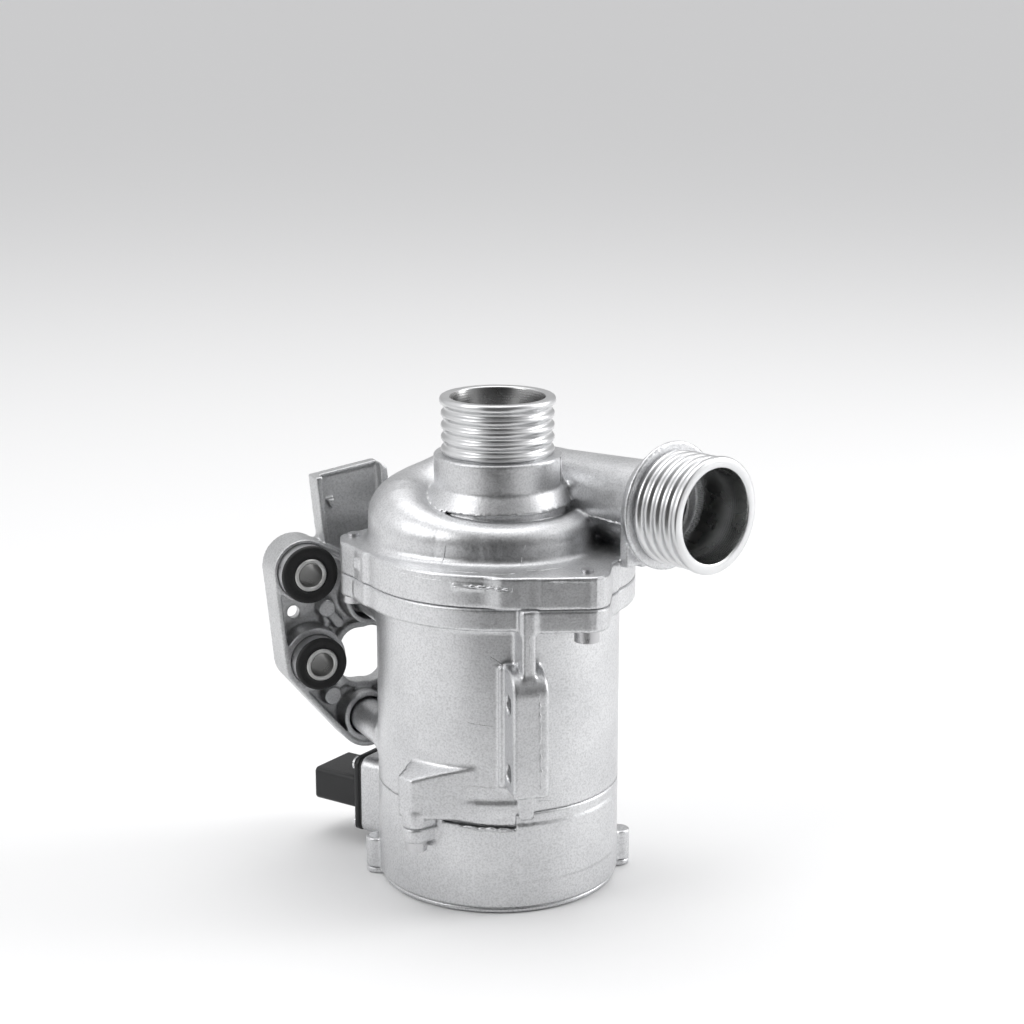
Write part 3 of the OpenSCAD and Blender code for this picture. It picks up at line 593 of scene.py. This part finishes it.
def spigot(name, origin, axis, bore, metal, shaded_bore_metal):
    piece = lathe(name, spigot_profile(bore), origin, axis, metal, 192, 0.28)
    # Faces inside the bore take the darker material, which is painted shade inside the hose end.
    piece.data.materials.append(shaded_bore_metal)
    k, o = np.array(Vector(axis).normalized()), np.array(origin)
    for f in piece.data.polygons:
        c = np.array(f.center) * 1000 - o
        if np.linalg.norm(c - k * (c @ k)) < bore + 0.1:
            f.material_index = 1
    return piece


outlet_tip = (*(foot + outlet_dir * outlet_end), outlet_z)
inlet_end = spigot("inlet_spigot", (0, 0, top_z), (0, 0, 1), 16.2, inlet_metal, shaded_inlet_bore)
outlet_nose = spigot("outlet_spigot", outlet_tip, outlet_axis, 16.0, outlet_metal, shaded_outlet_bore)
print("spigots end at", round(top_z, 1), [round(float(v), 1) for v in outlet_tip])

# %% [markdown]
# ## The motor housing
# A plain barrel under the flange, with a cross-drilled pad at the front, two posts for the
# bracket and a wedge-shaped ear at the left. The pad hangs from the flange on a rib, and an
# open skirt at the bottom leaves the dark slot above the electronics housing.

# %% Motor housing
barrel_r = 42.1
pad_az = -100.5
pad_t = (-8.9, 3.2)
pad_holes = (76.7, 52.7)
posts = [((-30.1, 92.0), 6.0), ((-31.9, 47.8), 6.6)]
wedge_foot = (-33.5, -17.8)
skirt_az = [-142, -107]
house_screws = [(-40.9, -21.6), (45.3, 9.6), (4.8, 46.0)]


def wedge_plan(p):
    return polygon(p[:, 0], p[:, 1], [(-30, -10), (-39.3, -15), (-46.2, -18.9), (-43.9, -24.8),
                                      (-24.8, -33.9), (-20, -24)])


def motor_field(p):
    x, y, z = p.T
    rho = np.hypot(x, y)
    d = drum(p, barrel_r, 36.1, 106, 0.35)
    flange = plate(flange_plan(p, ((-14.9, -48.4),), 0.8), z, 101.4, joint_z - 0.08, 0.6)
    d = join(d, flange, 2.5)
    u, t = turned(p, pad_az)
    side = np.where((u > 46.4) & (z > 80.5), np.hypot(u - 46.4, z - 80.5) - 8,
                    np.maximum(np.maximum(u - 54.4, 45.8 - z), z - 88.5))
    side = np.maximum(side, 36 - u)
    pad = rounded(side, np.abs(t - sum(pad_t) / 2) - (pad_t[1] - pad_t[0]) / 2, 1.1)
    rib = block(u, t, z, (38, -5.2, 82), (52, -0.8, joint_z - 0.1), 0.5)
    tongue = rounded(np.abs(t + 1.4) - 2.6, np.maximum(33.8 - z, z - 50), 1.2)
    tongue = rounded(tongue, np.abs(u - 39) - 4.2, 0.3)
    strip = block(u, t, z, (38, -10.6, 46), (42.3, -8, 88), 0.25)
    d = join(d, join(pad, rib, 1.4), 1.8)
    d = join(d, strip, 0.5)
    wedge = plate(wedge_plan(p), z, 33.6, 60, 0.5)
    wedge = np.maximum(wedge, (z - (51.6 - 0.5 * (rho - barrel_r))) * 0.9)
    foot_ear = plate(link(x, y, house_screws[0], 4.5, wedge_foot, 6.4), z, 30.1, 36, 0.5)
    wedge = join(wedge, foot_ear, 0.5)
    for h in house_screws[1:]:
        ear = plate(link(x, y, h, 4.4, (h[0] * 0.8, h[1] * 0.8), 6), z, 30.1, 49, 0.8)
        wedge = np.minimum(wedge, ear)
    wedge = np.maximum(wedge, -np.maximum(rho - 42.25, z - 36.1))
    d = join(d, wedge, 1.3)
    d = np.minimum(d, np.maximum(tongue, 42.25 - rho - np.maximum(z - 36.1, 0) * 9))
    for at, r in posts:
        d = join(d, rod_y(p, at, r, 20, 51, 0.4), 3.5)
    hem = np.interp(np.degrees(np.arctan2(y, x)), skirt_az, [33.0, 31.7])
    reach = np.maximum(np.maximum(hem - z, z - 39.6), sector(p, skirt_az[0] + 0.4, skirt_az[1]))
    d = join(d, rounded(np.abs(rho - 41.6) - 0.68, reach, 0.25), 1.4)
    lobe = block(*turned(p, back_az), z, (40, -21.2, 102.4), (46.2, -15.4, 108.4), 0.9)
    d = join(d, lobe, 0.8)
    holes = [np.hypot(u - 47.2, z - height) for height in pad_holes]
    d = cut(d, np.minimum(*holes) - 3.3, 0.5)
    bore = np.minimum(drum(p, 38.5, 20, 100, 0.3), drum(p, 40, 99.5, 130, 0.3))
    return cut(d, bore, 0.3)


motor = casting("motor_casting", motor_field, (-52, -60, 30), (58, 59, 110), 0.81, aluminium)

# %% [markdown]
# ## The electronics housing
# A shorter cup that closes the barrel from below. It carries the square boss of the plug, three
# ears for the base cover and the ears of the housing screws. Its deck is closed, so the water
# side never meets the electronics.

# %% Electronics housing
plug_az = 120.5
plug_face = 52.5
plug_z = 18.75
base_ears = [(158.8, 43.0), (-20.8, 43.0), (68.0, 43.0)]


def at_polar(r, az):
    return r * math.cos(math.radians(az)), r * math.sin(math.radians(az))


def rounded_rect(a, b, half_a, half_b, corner):
    """An upright rectangle with rounded corners."""
    return rounded(np.abs(a) - half_a, np.abs(b) - half_b, corner)


def electronics_field(p):
    x, y, z = p.T
    rho = np.hypot(x, y)
    d = drum(p, barrel_r, 2.06, 36.0, 0.35)
    panel = rounded(rho - 42.5, np.maximum(np.abs(z - 21.6) - 10.4, sector(p, -106.5, -44.5)), 0.25)
    d = np.minimum(d, panel)
    along, across = turned(p, plug_az)
    boss = plate(rounded_rect(across, z - plug_z, 12, 14.3, 4), along, 20, plug_face, 0.6)
    d = join(d, boss, 2.5)
    for az, r in base_ears:
        c = at_polar(r, az)
        d = join(d, plate(link(x, y, c, 3.9, (c[0] * 0.88, c[1] * 0.88), 5), z, 2.06, 13, 0.7), 1.0)
    ear = link(x, y, house_screws[0], 4.4, wedge_foot, 6.2)
    for h in house_screws[1:]:
        ear = np.minimum(ear, link(x, y, h, 4.2, (h[0] * 0.8, h[1] * 0.8), 5.6))
    d = join(d, plate(ear, z, 25, 29.95, 0.5), 1.0)
    hem = np.interp(np.degrees(np.arctan2(y, x)), skirt_az, [31.7, 30.5])
    slot = np.maximum(np.maximum(40.3 - rho, hem - z), sector(p, *skirt_az))
    d = cut(d, slot, 0.4)
    d = cut(d, drum(p, 38.9, -10, 32, 0.5), 0.3)
    return cut(d, plate(rounded_rect(across, z - plug_z, 7, 6, 2), along, 30, 60, 0.1), 0.3)


electronics = casting("electronics_casting", electronics_field, (-50, -46, 2), (50, 56, 37), 0.68,
                      aluminium)

# %% [markdown]
# ## The base cover
# A thin lid with three ears closes the cup from below. Where a lid and its ears share a face, a
# fillet between them would swell that face, so the result is trimmed flat again at the end.

# %% Base cover
lid_top = 1.96


def base_field(p):
    x, y, z = p.T
    d = plate(np.hypot(x, y) - 41.5, z, 0, lid_top, 0.9)
    for az, r in base_ears:
        c = at_polar(r, az)
        d = join(d, plate(link(x, y, c, 3.8, (c[0] * 0.88, c[1] * 0.88), 5), z, 0, lid_top, 0.5), 0.8)
    return np.maximum(d, np.abs(z - 0.99) - 0.98)


base = casting("base_plate", base_field, (-48, -46, 0), (46, 48, 2), 0.55, aluminium)

# %% [markdown]
# ## The bracket
# A shallow tray standing on edge: a floor at the back, a thin wall round the outline, rings round
# bushes and posts, a window and a tab. The outline is a chain of links between the rings, so
# its straight walls are tangent to the rings, as on the real casting.

# %% Bracket
bush_hi, bush_lo = (-55.5, 105.1), (-51.95, 71.9)
(post_hi, _), (post_lo, _) = posts
back_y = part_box("bracket")[1].y * 1000
front_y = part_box("bracket")[0].y * 1000
tray_floor = back_y - 3.5
tray_back = back_y - 1
corner_r = {bush_hi: 11.3, bush_lo: 11.5, post_lo: 11.5, post_hi: 9.6}


def bracket_plan(x, z):
    """The chain of links round the four corners, filled in."""
    corners = list(corner_r)
    d = polygon(x, z, corners)
    for a, b in zip(corners, corners[1:] + corners[:1]):
        d = np.minimum(d, link(x, z, a, corner_r[a], b, corner_r[b]))
    return d


def window_plan(x, z):
    d = polygon(x, z, [(-33.2, 66.3), (-33.2, 72.7), (-30, 72.7), (-30, 66.3)]) - 7
    return np.minimum(d, polygon(x, z, [(-33.4, 66.0), (-33.4, 73.2), (-28.6, 74), (-28.6, 65)]) - 6)


def bracket_field(p):
    x, y, z = p.T
    plan = bracket_plan(x, z)
    tab = polygon(x, z, [(-45.2, 108), (-46.8, 117.5), (-48.8, 136.9), (-24.5, 140.5),
                         (-21.6, 138.2), (-19.6, 120), (-21, 95), (-40, 95)])
    whole = join(plan, tab, 3)
    d = plate(whole, y, tray_floor, back_y, 0.5)
    wall = plate(np.maximum(plan, -plan - 1.9), y, front_y, tray_back, 0.5)
    gap = np.maximum(np.maximum(-(x + 45.5), 99 - z), y - 46.5)
    d = join(d, np.maximum(wall, -gap), 1.2)
    rings = rod_y(p, bush_hi, corner_r[bush_hi], front_y, back_y - 0.2, 0.5)
    rings = np.minimum(rings, rod_y(p, bush_lo, corner_r[bush_lo], front_y, back_y - 0.2, 0.5))
    rings = np.minimum(rings, rod_y(p, post_hi, 9.6, front_y + 0.4, back_y - 0.2, 0.6))
    rings = np.minimum(rings, rod_y(p, post_lo, 9.1, front_y + 0.4, back_y - 0.2, 0.6))
    d = join(d, rings, 1.2)
    rim = plate(window_plan(x, z) - 2.3, y, back_y - 6.5, back_y - 0.3, 0.6)
    d = join(d, rim, 1.2)
    raised = np.minimum(rod_y(p, (-45.6, 88.9), 3.2, tray_floor - 5, tray_back, 0.4),
                        rod_y(p, (-44.0, 55.8), 3.3, tray_floor - 5, tray_back, 0.4))
    for a, ra, b, rb, rise, edge in (((-45.6, 88.9), 1.6, (-40.6, 82.5), 1.9, 3.4, 0.7),
                                     ((-44.0, 55.8), 1.4, (-38.6, 61.2), 1.6, 3, 0.6),
                                     ((-47.5, 94.5), 1.3, (-44.8, 82.5), 1.3, 2.2, 0.6)):
        rib = plate(link(x, z, a, ra, b, rb), y, tray_floor - rise, tray_back, edge)
        raised = np.minimum(raised, rib)
    d = join(d, raised, 1.4)
    left = polygon(x, z, [(-45.8, 112), (-46.8, 117.5), (-48.8, 136.9), (-46.2, 137.3), (-44.3, 114)])
    left = plate(left, y, 46.5, tray_back, 0.5)
    right = polygon(x, z, [(-24.4, 140.4), (-21.7, 138.4), (-19.7, 120), (-21.2, 101), (-23.4, 103),
                           (-22.8, 120)])
    right = plate(right, y, 46.5, tray_back, 0.5)
    top = polygon(x, z, [(-48.4, 136), (-48.8, 136.9), (-24.5, 140.5), (-24.4, 139.2)])
    top = plate(top, y, 50.2, tray_back, 0.4)
    nub = polygon(x, z, [(-43.9, 128.3), (-41.2, 128.6), (-42, 124.6)])
    nub = rounded(nub, np.abs(y - 50) - 1.9, 0.4)
    d = join(d, np.minimum(np.minimum(left, right), np.minimum(top, nub)), 1.2)
    d = np.maximum(d, whole + 0.05)
    holes = np.minimum(rod_y(p, bush_hi, 10.05, 0, 90, 0), rod_y(p, bush_lo, 9.25, 0, 90, 0))
    holes = np.minimum(holes, rod_y(p, post_hi, 7.8, 0, tray_floor, 0.4))
    holes = np.minimum(holes, rod_y(p, post_lo, 7.3, 0, tray_floor, 0.4))
    holes = np.minimum(holes, plate(window_plan(x, z), y, 0, 90, 0))
    holes = np.minimum(holes, rod_y(p, (-56.6, 87.8), 2.3, 0, 90, 0))
    return cut(d, holes, 0.5)


bracket = casting("bracket_casting", bracket_field, (-67.2, 42, 36), (-19.4, 54.6, 141), 0.5,
                  bracket_metal)

# %% [markdown]
# ## Flash, seams and chips
# Where two halves of a die meet, a thin uneven line of metal squeezes out, and it is only partly
# filed off. Each line is a path on the surface. A geometry-node tree resamples it, shakes it with
# noise, varies its thickness the same way and sweeps a small circle along it.

# %% The node tree for a flash line
def flash_tree():
    """Takes a path of edges, and gives back a lumpy swept line of metal."""
    tree = bpy.data.node_groups.new("flash_line", "GeometryNodeTree")
    face = tree.interface
    face.new_socket("Geometry", in_out="INPUT", socket_type="NodeSocketGeometry")
    for label in ("Thickness", "Wander", "Grain"):
        face.new_socket(label, in_out="INPUT", socket_type="NodeSocketFloat")
    face.new_socket("Material", in_out="INPUT", socket_type="NodeSocketMaterial")
    face.new_socket("Geometry", in_out="OUTPUT", socket_type="NodeSocketGeometry")
    n, link_up = tree.nodes, tree.links.new
    start, end = n.new("NodeGroupInput"), n.new("NodeGroupOutput")
    curve, resample = n.new("GeometryNodeMeshToCurve"), n.new("GeometryNodeResampleCurve")
    resample.mode = "LENGTH"
    resample.inputs["Length"].default_value = 0.00045
    wobble, shape = n.new("ShaderNodeTexNoise"), n.new("ShaderNodeTexNoise")
    for tex, detail in ((wobble, 2.0), (shape, 4.0)):
        tex.inputs["Detail"].default_value = detail
        link_up(start.outputs["Grain"], tex.inputs["Scale"])
    centre, wander = n.new("ShaderNodeVectorMath"), n.new("ShaderNodeVectorMath")
    centre.operation, wander.operation = "SUBTRACT", "SCALE"
    centre.inputs[1].default_value = (0.5, 0.5, 0.5)
    link_up(wobble.outputs["Color"], centre.inputs[0])
    link_up(centre.outputs[0], wander.inputs[0])
    link_up(start.outputs["Wander"], wander.inputs["Scale"])
    move = n.new("GeometryNodeSetPosition")
    span, scale = n.new("ShaderNodeMapRange"), n.new("ShaderNodeMath")
    span.inputs["From Min"].default_value, span.inputs["From Max"].default_value = 0.36, 0.66
    span.inputs["To Min"].default_value, span.inputs["To Max"].default_value = 0.25, 1.5
    scale.operation = "MULTIPLY"
    link_up(shape.outputs["Fac"], span.inputs["Value"])
    link_up(span.outputs["Result"], scale.inputs[0])
    link_up(start.outputs["Thickness"], scale.inputs[1])
    ring, sweep = n.new("GeometryNodeCurvePrimitiveCircle"), n.new("GeometryNodeCurveToMesh")
    ring.inputs["Resolution"].default_value = 6
    ring.inputs["Radius"].default_value = 1.0
    sweep.inputs["Fill Caps"].default_value = True
    real, paint = n.new("GeometryNodeRealizeInstances"), n.new("GeometryNodeSetMaterial")
    for a, b in ((start.outputs["Geometry"], curve.inputs[0]),
                 (curve.outputs[0], resample.inputs["Curve"]),
                 (resample.outputs[0], move.inputs["Geometry"]),
                 (wander.outputs[0], move.inputs["Offset"]),
                 (move.outputs[0], sweep.inputs["Curve"]),
                 (scale.outputs[0], sweep.inputs["Scale"]),
                 (ring.outputs[0], sweep.inputs["Profile Curve"]),
                 (sweep.outputs[0], real.inputs[0]),
                 (real.outputs[0], paint.inputs["Geometry"]),
                 (start.outputs["Material"], paint.inputs["Material"]),
                 (paint.outputs[0], end.inputs[0])):
        link_up(a, b)
    return tree


line_tree = flash_tree()
print("flash tree:", len(line_tree.nodes), "nodes")


def flash(name, paths, thickness, wander, grain, material):
    """Paths in millimetres become one mesh of swept lines."""
    verts, edges = [], []
    for path in paths:
        first = len(verts)
        verts += [tuple(v * 0.001 for v in p) for p in path]
        edges += [(i, i + 1) for i in range(first, len(verts) - 1)]
    mesh = bpy.data.meshes.new(name + "_path")
    mesh.from_pydata(verts, edges, [])
    guide = bpy.data.objects.new(name + "_path", mesh)
    bpy.context.collection.objects.link(guide)
    mod = guide.modifiers.new("flash", "NODES")
    mod.node_group = line_tree
    keys = {i.name: i.identifier for i in line_tree.interface.items_tree if i.in_out == "INPUT"}
    for label, value in (("Thickness", thickness * 0.001), ("Wander", wander * 0.001),
                         ("Grain", grain), ("Material", material)):
        mod[keys[label]] = value
    shaken = guide.evaluated_get(bpy.context.evaluated_depsgraph_get())
    done = bpy.data.meshes.new_from_object(shaken)
    bpy.data.objects.remove(guide)
    done.polygons.foreach_set("use_smooth", [True] * len(done.polygons))
    piece = bpy.data.objects.new(name, done)
    bpy.context.collection.objects.link(piece)
    print(name, len(done.polygons), "faces")
    return piece


# %% [markdown]
# ## Where the lines run
# A path is drawn roughly, as an arc or a straight line, and then slid onto the casting: each
# point moves along the slope of the casting's own distance until it is just proud of the skin.
# So a line lies on the metal even where the shape under it changes.

# %% Paths on the castings
def arc(radius, az0, az1, z0, z1, count=24):
    path = []
    for k in range(count + 1):
        a = math.radians(az0 + (az1 - az0) * k / count)
        path.append((radius * math.cos(a), radius * math.sin(a), z0 + (z1 - z0) * k / count))
    return path


def straight(a, b, count=12):
    return [tuple(a[i] + (b[i] - a[i]) * k / count for i in range(3)) for k in range(count + 1)]


def at_pad(u, t, z):
    c, s = math.cos(math.radians(pad_az)), math.sin(math.radians(pad_az))
    return (u * c - t * s, u * s + t * c, z)


def settle(path, field, proud=0.02):
    """Slides the points of a path onto a casting's surface."""
    pts = np.array(path, float)
    for _ in range(6):
        f = field(pts)
        slope = slope_of(field, pts, f)
        steep = np.maximum((slope ** 2).sum(1), 0.3)
        pts -= (np.clip(f - proud, -1.5, 1.5) / steep)[:, None] * slope
    return [tuple(v) for v in pts]


def on_pipe(s, below):
    """A point on the pipe's near side, so many degrees below its middle."""
    r = pipe_r[0] + (pipe_r[1] - pipe_r[0]) * s / pipe_length
    out, down = r * math.cos(math.radians(below)), r * math.sin(math.radians(below))
    return (foot[0] + outlet_dir[0] * s + outlet_dir[1] * out,
            foot[1] + outlet_dir[1] * s - outlet_dir[0] * out, outlet_z - pipe_low - down)


cover_lines = [arc(flange_r, -163, -133, 118.3, 117.6), arc(flange_r, -133, -109.2, 117.5, 117.1),
               arc(47.5, -133.4, -109.3, 116.4, 115.7),
               straight((-15.6, -44.8, 117.3), (-15.7, -44.7, 115.7), 3),
               straight((-6.5, -51.9, 119), (7, -57.2, 118.6)),
               arc(43.4, -136, -124, 120.4, 120.4), arc(44.2, -122, -108, 120.4, 120.4),
               arc(42.2, -102, -84, 120.5, 120.4)]
rough_lines = [arc(47.5, -129, -111, 116.9, 116.5),
               straight(on_pipe(27.5, 17.8), on_pipe(46, 16))]
seam_lines = [arc(37, -103.4, -99.9, 120.8, 127.5, 10), arc(39, -145.1, -143.2, 120.8, 126.5, 10),
              arc(23.5, -39, -39, 142, 150.5, 6)]
cover_lines = [settle(path, volute_field) for path in cover_lines + seam_lines]
rough_lines = [settle(path, volute_field) for path in rough_lines]
flash_cover = flash("cover_flash", cover_lines, 0.2, 0.35, 300, aluminium)
flash_rough = flash("rough_flash", rough_lines, 0.55, 0.8, 480, aluminium)
house_lines = [straight(at_pad(54.45, 0.4, 49), at_pad(54.45, -0.2, 82), 30),
               straight(at_pad(52.0, -2.6, 90), at_pad(52.0, -3.0, 101), 12),
               arc(42.25, -118.5, -112.8, 91.4, 88.2, 8), arc(42.2, -129, -115, 68, 66.9, 10),
               arc(42.2, -129, -115, 46, 45.2, 10), arc(42.15, -97, -84, 40, 39, 8)]
chips = [arc(42.2, -134, -108, 31.3, 30.4, 30), arc(42.1, -126, -109, 30.6, 29.9, 20)]
house_lines = [settle(path, motor_field) for path in house_lines]
flash_house = flash("housing_flash", house_lines[1:3], 0.2, 0.3, 300, aluminium)
flash_pad = flash("pad_flash", house_lines[:1], 0.42, 0.9, 520, aluminium)
flash_scratch = flash("housing_scratches", house_lines[3:], 0.09, 0.3, 260, aluminium)
flash_chips = flash("housing_chips", chips, 0.6, 1.2, 420, aluminium)
for piece, node in ((flash_cover, "volute_cover"), (flash_rough, "volute_cover"),
                    (flash_house, "motor_housing"), (flash_pad, "motor_housing"),
                    (flash_scratch, "motor_housing"), (flash_chips, "electronics_housing")):
    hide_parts(node)
    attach(piece, "housing")

# %% [markdown]
# ## Rubber bushes
# Each bush is a steel shell pressed into the bracket, a moulded rubber ring and a steel sleeve
# for the bolt. The rubber's face stands proud and bulges a little, with a soft outer corner.

# %% Bushes
bush_proud = 6.5
sleeve_hole, sleeve_r = 4.25, 5.8


def bush(side, at, shell_r):
    face = [(sleeve_r, 0.0), (6.6, 0.45), (8.2, 0.05), (shell_r - 0.6, 0.0), (shell_r + 0.15, 0.35),
            (shell_r + 0.3, 1.0), (shell_r + 0.3, 1.7), (shell_r - 0.2, 2.1), (shell_r - 1, 2.2),
            (shell_r - 1, 19.9), (sleeve_r, 19.9)]
    case = [(shell_r - 1, 1.9), (shell_r, 1.9), (shell_r, 20), (shell_r - 1, 20)]
    tube = [(sleeve_hole, -0.4), (sleeve_r, -0.4), (sleeve_r, 21), (sleeve_hole, 21)]
    o = (at[0], front_y - bush_proud, at[1])
    ring = lathe(side + "_rubber", face, o, (0, 1, 0), rubber, 128, 0.22)
    shell = lathe(side + "_shell", case, o, (0, 1, 0), zinc, 128, 0.2)
    sleeve = lathe(side + "_sleeve", tube, o, (0, 1, 0), sleeve_metal, 96, 0.35)
    # The sleeve's bore takes a near-black copy of the sleeve steel, as painted shade inside the bolt
    # hole.
    sleeve.data.materials.append(shaded_sleeve_bore)
    for f in sleeve.data.polygons:
        if math.hypot(f.center.x * 1000 - at[0], f.center.z * 1000 - at[1]) < sleeve_hole + 0.15:
            f.material_index = 1
    for piece, node, slot in ((ring, "rubber", "bush_rubber"), (shell, "shell", "zinc_steel"),
                              (sleeve, "sleeve", "zinc_steel")):
        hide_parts(side + "_bush_" + node)
        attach(piece, "housing")
    return ring


for side, at, shell_r in (("upper", bush_hi, 10.0), ("lower", bush_lo, 9.2)):
    print(bush(side, at, shell_r).name)

# %% [markdown]
# ## The plug socket
# A moulded flange with a rounded shroud, held by four small dome-headed screws. It is moulded
# plastic, so its edges are rounder than a machined part's, and the same distances build it.

# %% Plug socket
def plug_field(p):
    along, across = turned(p, plug_az)
    along = along - plug_face
    z = p[:, 2] - plug_z
    d = plate(rounded_rect(across, z, 12, 14.3, 4), along, 0.8, 2.9, 0.6)
    shroud = rounded(rounded_rect(across, z, 10.5, 6.1, 1.8), np.abs(along - 11.4) - 11, 0.8)
    d = join(d, shroud, 0.8)
    d = join(d, plate(rounded_rect(across, z, 6.7, 5.7, 1.8), along, -5, 2, 0.3), 0.3)
    return cut(d, plate(rounded_rect(across, z, 8.9, 4.5, 0.8), along, 5, 40, 0.1), 0.4)


plug = casting("plug_socket", plug_field, (-53, 30, 4), (-10, 73, 34), 0.42, black_plastic)

# %% [markdown]
# ## Which piece stands for which part
# Each new skin hides the plain part it is drawn over, and moves with the body that the part
# belongs to. Every casting and the plug belong to the housing, which stands still while the
# rotor turns.

# %% Tie the pieces to the frame
tied = ((volute, "volute_cover", "cast_aluminium"), (motor, "motor_housing", "cast_aluminium"),
        (electronics, "electronics_housing", "cast_aluminium"),
        (base, "base_cover", "cast_aluminium"), (bracket, "bracket", "cast_dark"),
        (plug, "connector_body", "black_polymer"), (inlet_end, "volute_cover", "cast_aluminium"),
        (outlet_nose, "volute_cover", "cast_aluminium"))
for piece, node, slot in tied:
    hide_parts(node)
    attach(piece, "housing")
print("tied:", [piece.name for piece, _, _ in tied])

# %% [markdown]
# ## Finishes for the parts that stay as they are
# The inner parts and the small seals keep their CAD shape. Each one only needs its material.

# %% Paint the CAD nodes
finishes = {
    seal: ["cover_seal", "housing_seal", "base_seal", "can_seal", "connector_seal"],
    zinc: ["cover_screws", "housing_screws", "base_screws", "bracket_screws", "impeller_nut"],
    bright_screw: ["connector_screws"],
    dark_polymer: ["bearing_carrier", "containment_can", "impeller", "impeller_shroud"],
    carbon: ["upper_bearing", "lower_bearing"],
    ceramic: ["thrust_washer"],
    laminated: ["stator_core", "rotor_core"],
    copper: ["stator_coils", "phase_terminals", "choke", "connector_pins"],
    pale_polymer: ["upper_insulator", "lower_insulator", "thermal_pad"],
    board: ["circuit_board"],
    black_plastic: ["capacitors", "power_module", "control_chips"],
    ground_steel: ["shaft", "rotor_can"],
    magnet: ["rotor_magnets"],
}
for material, nodes in finishes.items():
    for name in nodes:
        mesh = frame["nodes"][name].data
        mesh.materials.clear()
        mesh.materials.append(material)
print("painted", sum(map(len, finishes.values())), "nodes")

# %% [markdown]
# ## Floor and camera
# The pump stands on a pale floor that runs far past the view, so no edge shows. The floor lies a
# fifth of a millimetre under the base, because two faces at one height would flicker. The
# standard view transform keeps bright metal bright, where a filmic one would grey it.

# %% Stage
floor_z = -0.0002
front_turn = math.radians(-25.5)
bpy.ops.mesh.primitive_circle_add(vertices=96, radius=60, fill_type="NGON", location=(0, 0, floor_z))
floor = bpy.context.object
floor.name = "floor"
floor_paint, _, floor_shader = new_material("floor_paint", (0.9, 0.9, 0.9), 0.0, 0.7)
floor.data.materials.append(floor_paint)

camera = bpy.data.objects.new("camera", bpy.data.cameras.new("camera"))
bpy.context.collection.objects.link(camera)
camera.location = (-0.3181, -0.6782, 0.31676)
camera.rotation_euler = (math.radians(76), 0, front_turn)
camera.data.lens = 79.1
camera.data.sensor_width = 36
bpy.context.scene.camera = camera
bpy.context.scene.view_settings.view_transform = "Standard"
print("camera at", [round(v, 3) for v in camera.location])

# %% [markdown]
# ## Surroundings and lights
# Satin metal shows its form through what it mirrors. The surroundings are pale but not even:
# darker behind the camera, bright to both sides and above, so that every round part gets a
# soft dark band between two lights. Three soft boxes add shape. A black card near the front is
# seen only by mirror-like rays, and deepens the band down the middle of the barrel.

# %% World and lights
def surroundings():
    """Grey by direction: dark behind the camera, white to both sides, mid grey behind the pump."""
    world = bpy.data.worlds.new("studio")
    bpy.context.scene.world = world
    world.use_nodes = True
    tree = world.node_tree
    coords = tree.nodes.new("ShaderNodeTexCoord")
    dot = tree.nodes.new("ShaderNodeVectorMath")
    dot.operation = "DOT_PRODUCT"
    dot.inputs[1].default_value = Vector((-0.43, -0.9, 0.12)).normalized()
    tree.links.new(coords.outputs["Generated"], dot.inputs[0])
    ramp = tree.nodes.new("ShaderNodeValToRGB")
    tree.links.new(between(tree, dot.outputs["Value"], 0, 1, -1, 1), ramp.inputs["Fac"])
    greys = ramp.color_ramp.elements
    greys[0].position, greys[1].position = 0.0, 1.0
    greys[0].color, greys[1].color = (0.5, 0.5, 0.5, 1), (0.02, 0.02, 0.02, 1)
    for place, grey in ((0.14, 0.5), (0.32, 0.95), (0.6, 0.9), (0.76, 0.5), (0.88, 0.2), (0.95, 0.05)):
        greys.new(place).color = (grey, grey, grey * 1.01, 1)
    background = tree.nodes["Background"]
    tree.links.new(ramp.outputs["Color"], background.inputs["Color"])
    background.inputs["Strength"].default_value = 1.0


def softbox(name, place, size, power):
    """A soft rectangular light aimed at the middle of the pump."""
    lamp = bpy.data.lights.new(name, "AREA")
    lamp.shape = "RECTANGLE"
    lamp.size, lamp.size_y = size
    lamp.energy = power
    holder = bpy.data.objects.new(name, lamp)
    bpy.context.collection.objects.link(holder)
    holder.location = place
    aim = Vector((0, 0, 0.09)) - Vector(place)
    holder.rotation_euler = aim.to_track_quat("-Z", "Y").to_euler()
    return holder


surroundings()
softbox("left", (-1.2, -0.1, 0.9), (0.6, 0.7), 5)
softbox("right", (1.1, -0.35, 0.6), (0.5, 0.9), 6)
softbox("top", (0.1, 0.3, 1.5), (1.2, 1.2), 8)

bpy.ops.mesh.primitive_plane_add(size=1, location=(-0.125, -0.262, 0.2))
card = bpy.context.object
card.name = "black_card"
card.scale = (0.30, 0.40, 1)
card.rotation_euler = (math.radians(90), 0, front_turn)
card_paint, _, _ = new_material("black_card", (0.03, 0.03, 0.03), 0.0, 0.9)
card.data.materials.append(card_paint)
card.visible_camera = card.visible_shadow = card.visible_diffuse = False
